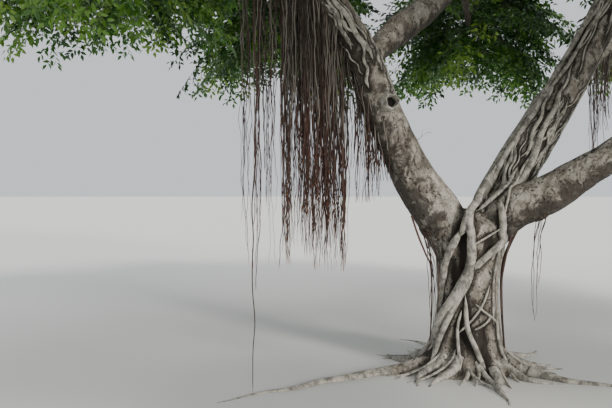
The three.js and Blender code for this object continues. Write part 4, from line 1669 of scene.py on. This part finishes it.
def spray_pattern(size, twiglets, foliage, random):
    """One spray lying along +X with +Z up: the skins of its wood and of its leaves."""
    length = SPRAY.length * size
    wood = Mould()
    for skinned in axis_wood(length):
        wood.add(*skinned)
    leaves = []
    for index in range(LEAF.runs):
        start, end = axis_at(index / LEAF.runs, length), axis_at((index + 1) / LEAF.runs, length)
        leaves += leaf_run(start, end, round(length / LEAF.runs / LEAF.spacing), random)
    starts, ends = [], []
    for index in range(twiglets):
        share = TWIGLET.first + TWIGLET.run * index / (twiglets - 1)
        start = axis_at(share, length)
        angle = math.radians(TWIGLET.angle) * (1 if index % 2 else -1)
        angle *= random.uniform(*TWIGLET.uneven_angle)
        reach = TWIGLET.length * size * (TWIGLET.longest - TWIGLET.shortening * share)
        reach *= random.uniform(*TWIGLET.uneven_length)
        way = turned(np.array([1.0, 0.0, -TWIGLET.dip]), angle)
        end = start + way * reach + UP * random.uniform(*TWIGLET.rise) * reach
        starts.append(start)
        ends.append(end)
        leaves += leaf_run(start + way * TWIGLET.bare, end, round(reach / LEAF.spacing), random)
    wood.add(*spikes(np.array(starts), np.array(ends), np.full(twiglets, TWIGLET.radius)))
    roots, ways = (np.array(item) for item in zip(*leaves))
    ways[:, 2] -= LEAF.dip
    ways = unit(ways)
    normals = UP + random.normal(size=ways.shape) * LEAF.unevenness
    normals = unit(normals - (normals * ways).sum(axis=1)[:, None] * ways)
    blades = leaf_blades(roots, ways, normals, foliage.leaf_length, foliage.leaf_width)
    return Sizes(wood=(np.vstack(wood.points), np.vstack(wood.faces)), leaves=blades)


def cast_sprays(mould, skins, places, finishes):
    """Adds a copy of a spray's skin at each place, with one finish for the whole spray."""
    points, faces = skins
    roots = np.array([place.root for place in places])
    bases = np.array([place.basis for place in places])
    moved = np.einsum("vi,nij->nvj", points, bases) + roots[:, None]
    shifted = faces[None] + len(points) * np.arange(len(places))[:, None, None]
    mould.add(moved.reshape(-1, 3), shifted.reshape(-1, 3), np.repeat(finishes, len(faces)))


def twig_sprays(index, curve_at, count, random):
    """Where the sprays of one twig lie: splayed left and right in turn, with one at its end."""
    places = []
    for step in range(count):
        share = FOLIAGE.first_spray + (1 - FOLIAGE.first_spray) * step / (count - 1)
        is_end = step == count - 1
        splay = 0 if is_end else FOLIAGE.splay * (1 if step % 2 else -1)
        turn = math.radians(splay + FOLIAGE.uneven_turn * (random.random() - 0.5))
        root = curve_at(share)
        heading = unit(curve_at(min(1, share + A_LITTLE)) - curve_at(share - A_LITTLE))
        along = drooping(turned(heading, turn))
        across = unit(np.cross(UP, along)) + UP * FOLIAGE.uneven_tilt * (random.random() - 0.5)
        normal = unit(np.cross(along, across))
        side = np.cross(normal, along)
        for number, (size, _) in enumerate(SPRAY.sizes):
            if in_space(index, spray_corners(root, along, side, size)).all():
                places.append(Sizes(root=root, basis=np.array([along, side, normal]), size=number))
                break
    return places


def grow_stem(mass, limb, wood):
    """Grows the stem of a mass on from its limb, and returns the three points that shape it."""
    stem = FOLIAGE.stem
    start = limb.at(1)
    heading = unit(start - limb.at(1 - A_LITTLE))
    elbow = start + heading * stem.bend * np.linalg.norm(mass.middle - start)
    top = mass.middle + UP * mass.ring.depth * stem.rise
    share = np.linspace(0, 1, stem.rings)
    line = bezier(start - heading * stem.sunk, elbow, top, share)
    thick = float(limb.radius_at(1)) * stem.fit
    wood.add(*tube(line, thick + (stem.tip - thick) * share, stem.sides))
    return start, elbow, top


def grow_mass(index, foliage, wood):
    """Grows one mass's stem and twigs into a mould of wood, and returns where its sprays lie. Each
    kind of twig is turned about the stem by a radian from the kind before it."""
    mass = MASSES[index]
    random = np.random.default_rng(CROWN.seed + index)
    stem_points = grow_stem(mass, ENDING_LIMBS[index], wood)
    first_turn = 2 * math.pi * dice(CROWN.seed + FOLIAGE.seed_step * (index + 1))()
    sprays = []
    part = np.linspace(0, 1, FOLIAGE.twig_rings)
    kinds = (
        (FOLIAGE.first_twigs, FOLIAGE.twig_radius, mass.ring.lowest),
        (foliage.fine_twigs, FOLIAGE.fine_radius, mass.ring.lowest),
        (FOLIAGE.top_twigs, FOLIAGE.fine_radius, FOLIAGE.top_lowest),
    )
    for kind, (count, radius, lowest) in enumerate(kinds):
        for twig in range(count):
            place = (twig + 0.5) / count
            height = 1 - (1 - lowest) * place
            turn = first_turn + kind + twig * GOLDEN_ANGLE
            direction = compass(turn, math.sqrt(1 - height * height), height)
            end = twig_end(index, direction)
            source = bezier(*stem_points, FOLIAGE.first_twig - FOLIAGE.twig_spacing * place)
            crest = (source + end) / 2 + UP * FOLIAGE.bow * np.linalg.norm(end - source)

            def curve_at(share):
                return bezier(source, crest, end, share)

            radii = radius + (FOLIAGE.twig_tip - radius) * part
            wood.add(*tube(curve_at(part), radii, FOLIAGE.twig_sides), TWIG)
            sprays += twig_sprays(index, curve_at, foliage.sprays, random)
    return sprays


def dress_mass(sprays, patterns, wood, leaves, random):
    """Adds the wood and leaves of a mass's sprays, each of a kind and a tint dealt out at random."""
    kinds = random.integers(SPRAY.variants, size=len(sprays))
    tints = random.choice(len(LEAF.shares), size=len(sprays), p=LEAF.shares)
    for size, variants in enumerate(patterns):
        for kind, pattern in enumerate(variants):
            chosen = [
                item for item, spray in enumerate(sprays)
                if spray.size == size and kinds[item] == kind
            ]
            if chosen:
                places = [sprays[item] for item in chosen]
                cast_sprays(wood, pattern.wood, places, np.full(len(chosen), GREEN_TWIG))
                cast_sprays(leaves, pattern.leaves, places, tints[chosen])


class BANYAN_OT_foliage(bpy.types.Operator):
    """Grows each mass of foliage on from its limb: a stem, twigs, and sprays of leaves"""

    bl_idname = "banyan.foliage"
    bl_label = "Foliage"

    def execute(self, context):
        foliage = context.scene.banyan_foliage
        random = np.random.default_rng(CROWN.seed)
        patterns = [
            [spray_pattern(size, twiglets, foliage, random) for _ in range(SPRAY.variants)]
            for size, twiglets in SPRAY.sizes
        ]
        wood_finishes = twig_finishes(context.scene.banyan_bark, foliage)
        blade_finishes = leaf_finishes(foliage)
        for index, mass in enumerate(MASSES):
            wood, leaves = Mould(), Mould()
            dress_mass(grow_mass(index, foliage, wood), patterns, wood, leaves, random)
            twigs_piece = wood.cast("twigs_" + mass.name, wood_finishes)
            leaves_piece = leaves.cast("leaves_" + mass.name, blade_finishes, smooth=False)
            for piece in (twigs_piece, leaves_piece):
                ride_and_replace(piece, ["foliage_" + mass.name])
        return {"FINISHED"}


def distant_light(name, light, stage):
    """Parallel light by one row of the list of lights."""
    lamp = bpy.data.lights.new(name, "SUN")
    lamp.energy = getattr(stage, light.strength) * light.share
    lamp.angle = math.radians(light.softness)
    lamp.color = light.colour
    placed(name, lamp).rotation_euler = (math.radians(light.tip), 0, math.radians(light.turn))


class BANYAN_OT_stage(bpy.types.Operator):
    """Lays the studio floor, lights the tree and stands the camera where the viewer stood"""

    bl_idname = "banyan.stage"
    bl_label = "Studio"

    def execute(self, context):
        stage = context.scene.banyan_stage
        mesh = bpy.data.meshes.new("studio_floor")
        rim = compass(even_turns(FLOOR.sides), FLOOR.reach, 0.0)
        mesh.from_pydata(rim.tolist(), [], [tuple(range(FLOOR.sides))])
        mesh.materials.append(plain_finish("Studio floor", stage.floor, 0.9))
        placed("studio_floor", mesh)

        world = bpy.data.worlds.new("Studio light")
        world.use_nodes = True
        backdrop = world.node_tree.nodes["Background"]
        backdrop.inputs["Color"].default_value = rgba(stage.backdrop)
        backdrop.inputs["Strength"].default_value = stage.ambient
        context.scene.world = world

        for name, light in LIGHTS.items():
            distant_light(name, light, stage)

        lens = bpy.data.cameras.new("Viewer")
        lens.lens = VIEWER.lens
        lens.sensor_width = VIEWER.sensor
        eye = placed("Viewer", lens)
        eye.location = VIEWER.place
        focal_pixels = VIEWER.picture_width * VIEWER.lens / VIEWER.sensor
        eye.rotation_euler = (math.pi / 2 - math.atan(VIEWER.horizon_above / focal_pixels), 0, 0)
        context.scene.camera = eye
        return {"FINISHED"}


class BANYAN_PT_panel(bpy.types.Panel):
    """Lists the tree's sizes, colours and steps in the sidebar"""

    bl_idname = "BANYAN_PT_panel"
    bl_label = "Banyan tree"
    bl_space_type = "VIEW_3D"
    bl_region_type = "UI"
    bl_category = "Banyan"

    def draw(self, context):
        for name, _ in GROUPS:
            group = getattr(context.scene, name)
            box = self.layout.box()
            for key in group.bl_rna.properties.keys():
                if key not in ("rna_type", "name"):
                    box.prop(group, key)
        for operator in STEPS:
            self.layout.operator(operator.bl_idname)


GROUPS = [
    ("banyan_bark", BanyanBark),
    ("banyan_roots", BanyanRoots),
    ("banyan_foliage", BanyanFoliage),
    ("banyan_stage", BanyanStage),
]
STEPS = [
    BANYAN_OT_bark,
    BANYAN_OT_wrapping_roots,
    BANYAN_OT_stub,
    BANYAN_OT_limbs,
    BANYAN_OT_aerial_roots,
    BANYAN_OT_foliage,
    BANYAN_OT_stage,
]
CLASSES = [*(group for _, group in GROUPS), *STEPS, BANYAN_PT_panel]


def register():
    for item in CLASSES:
        bpy.utils.register_class(item)
    for name, group in GROUPS:
        setattr(bpy.types.Scene, name, PointerProperty(type=group))


def unregister():
    for name, _ in reversed(GROUPS):
        delattr(bpy.types.Scene, name)
    for item in reversed(CLASSES):
        bpy.utils.unregister_class(item)


def main():
    register()
    for step in STEPS:
        family, action = step.bl_idname.split(".")
        getattr(getattr(bpy.ops, family), action)()


if __name__ == "__main__":
    main()
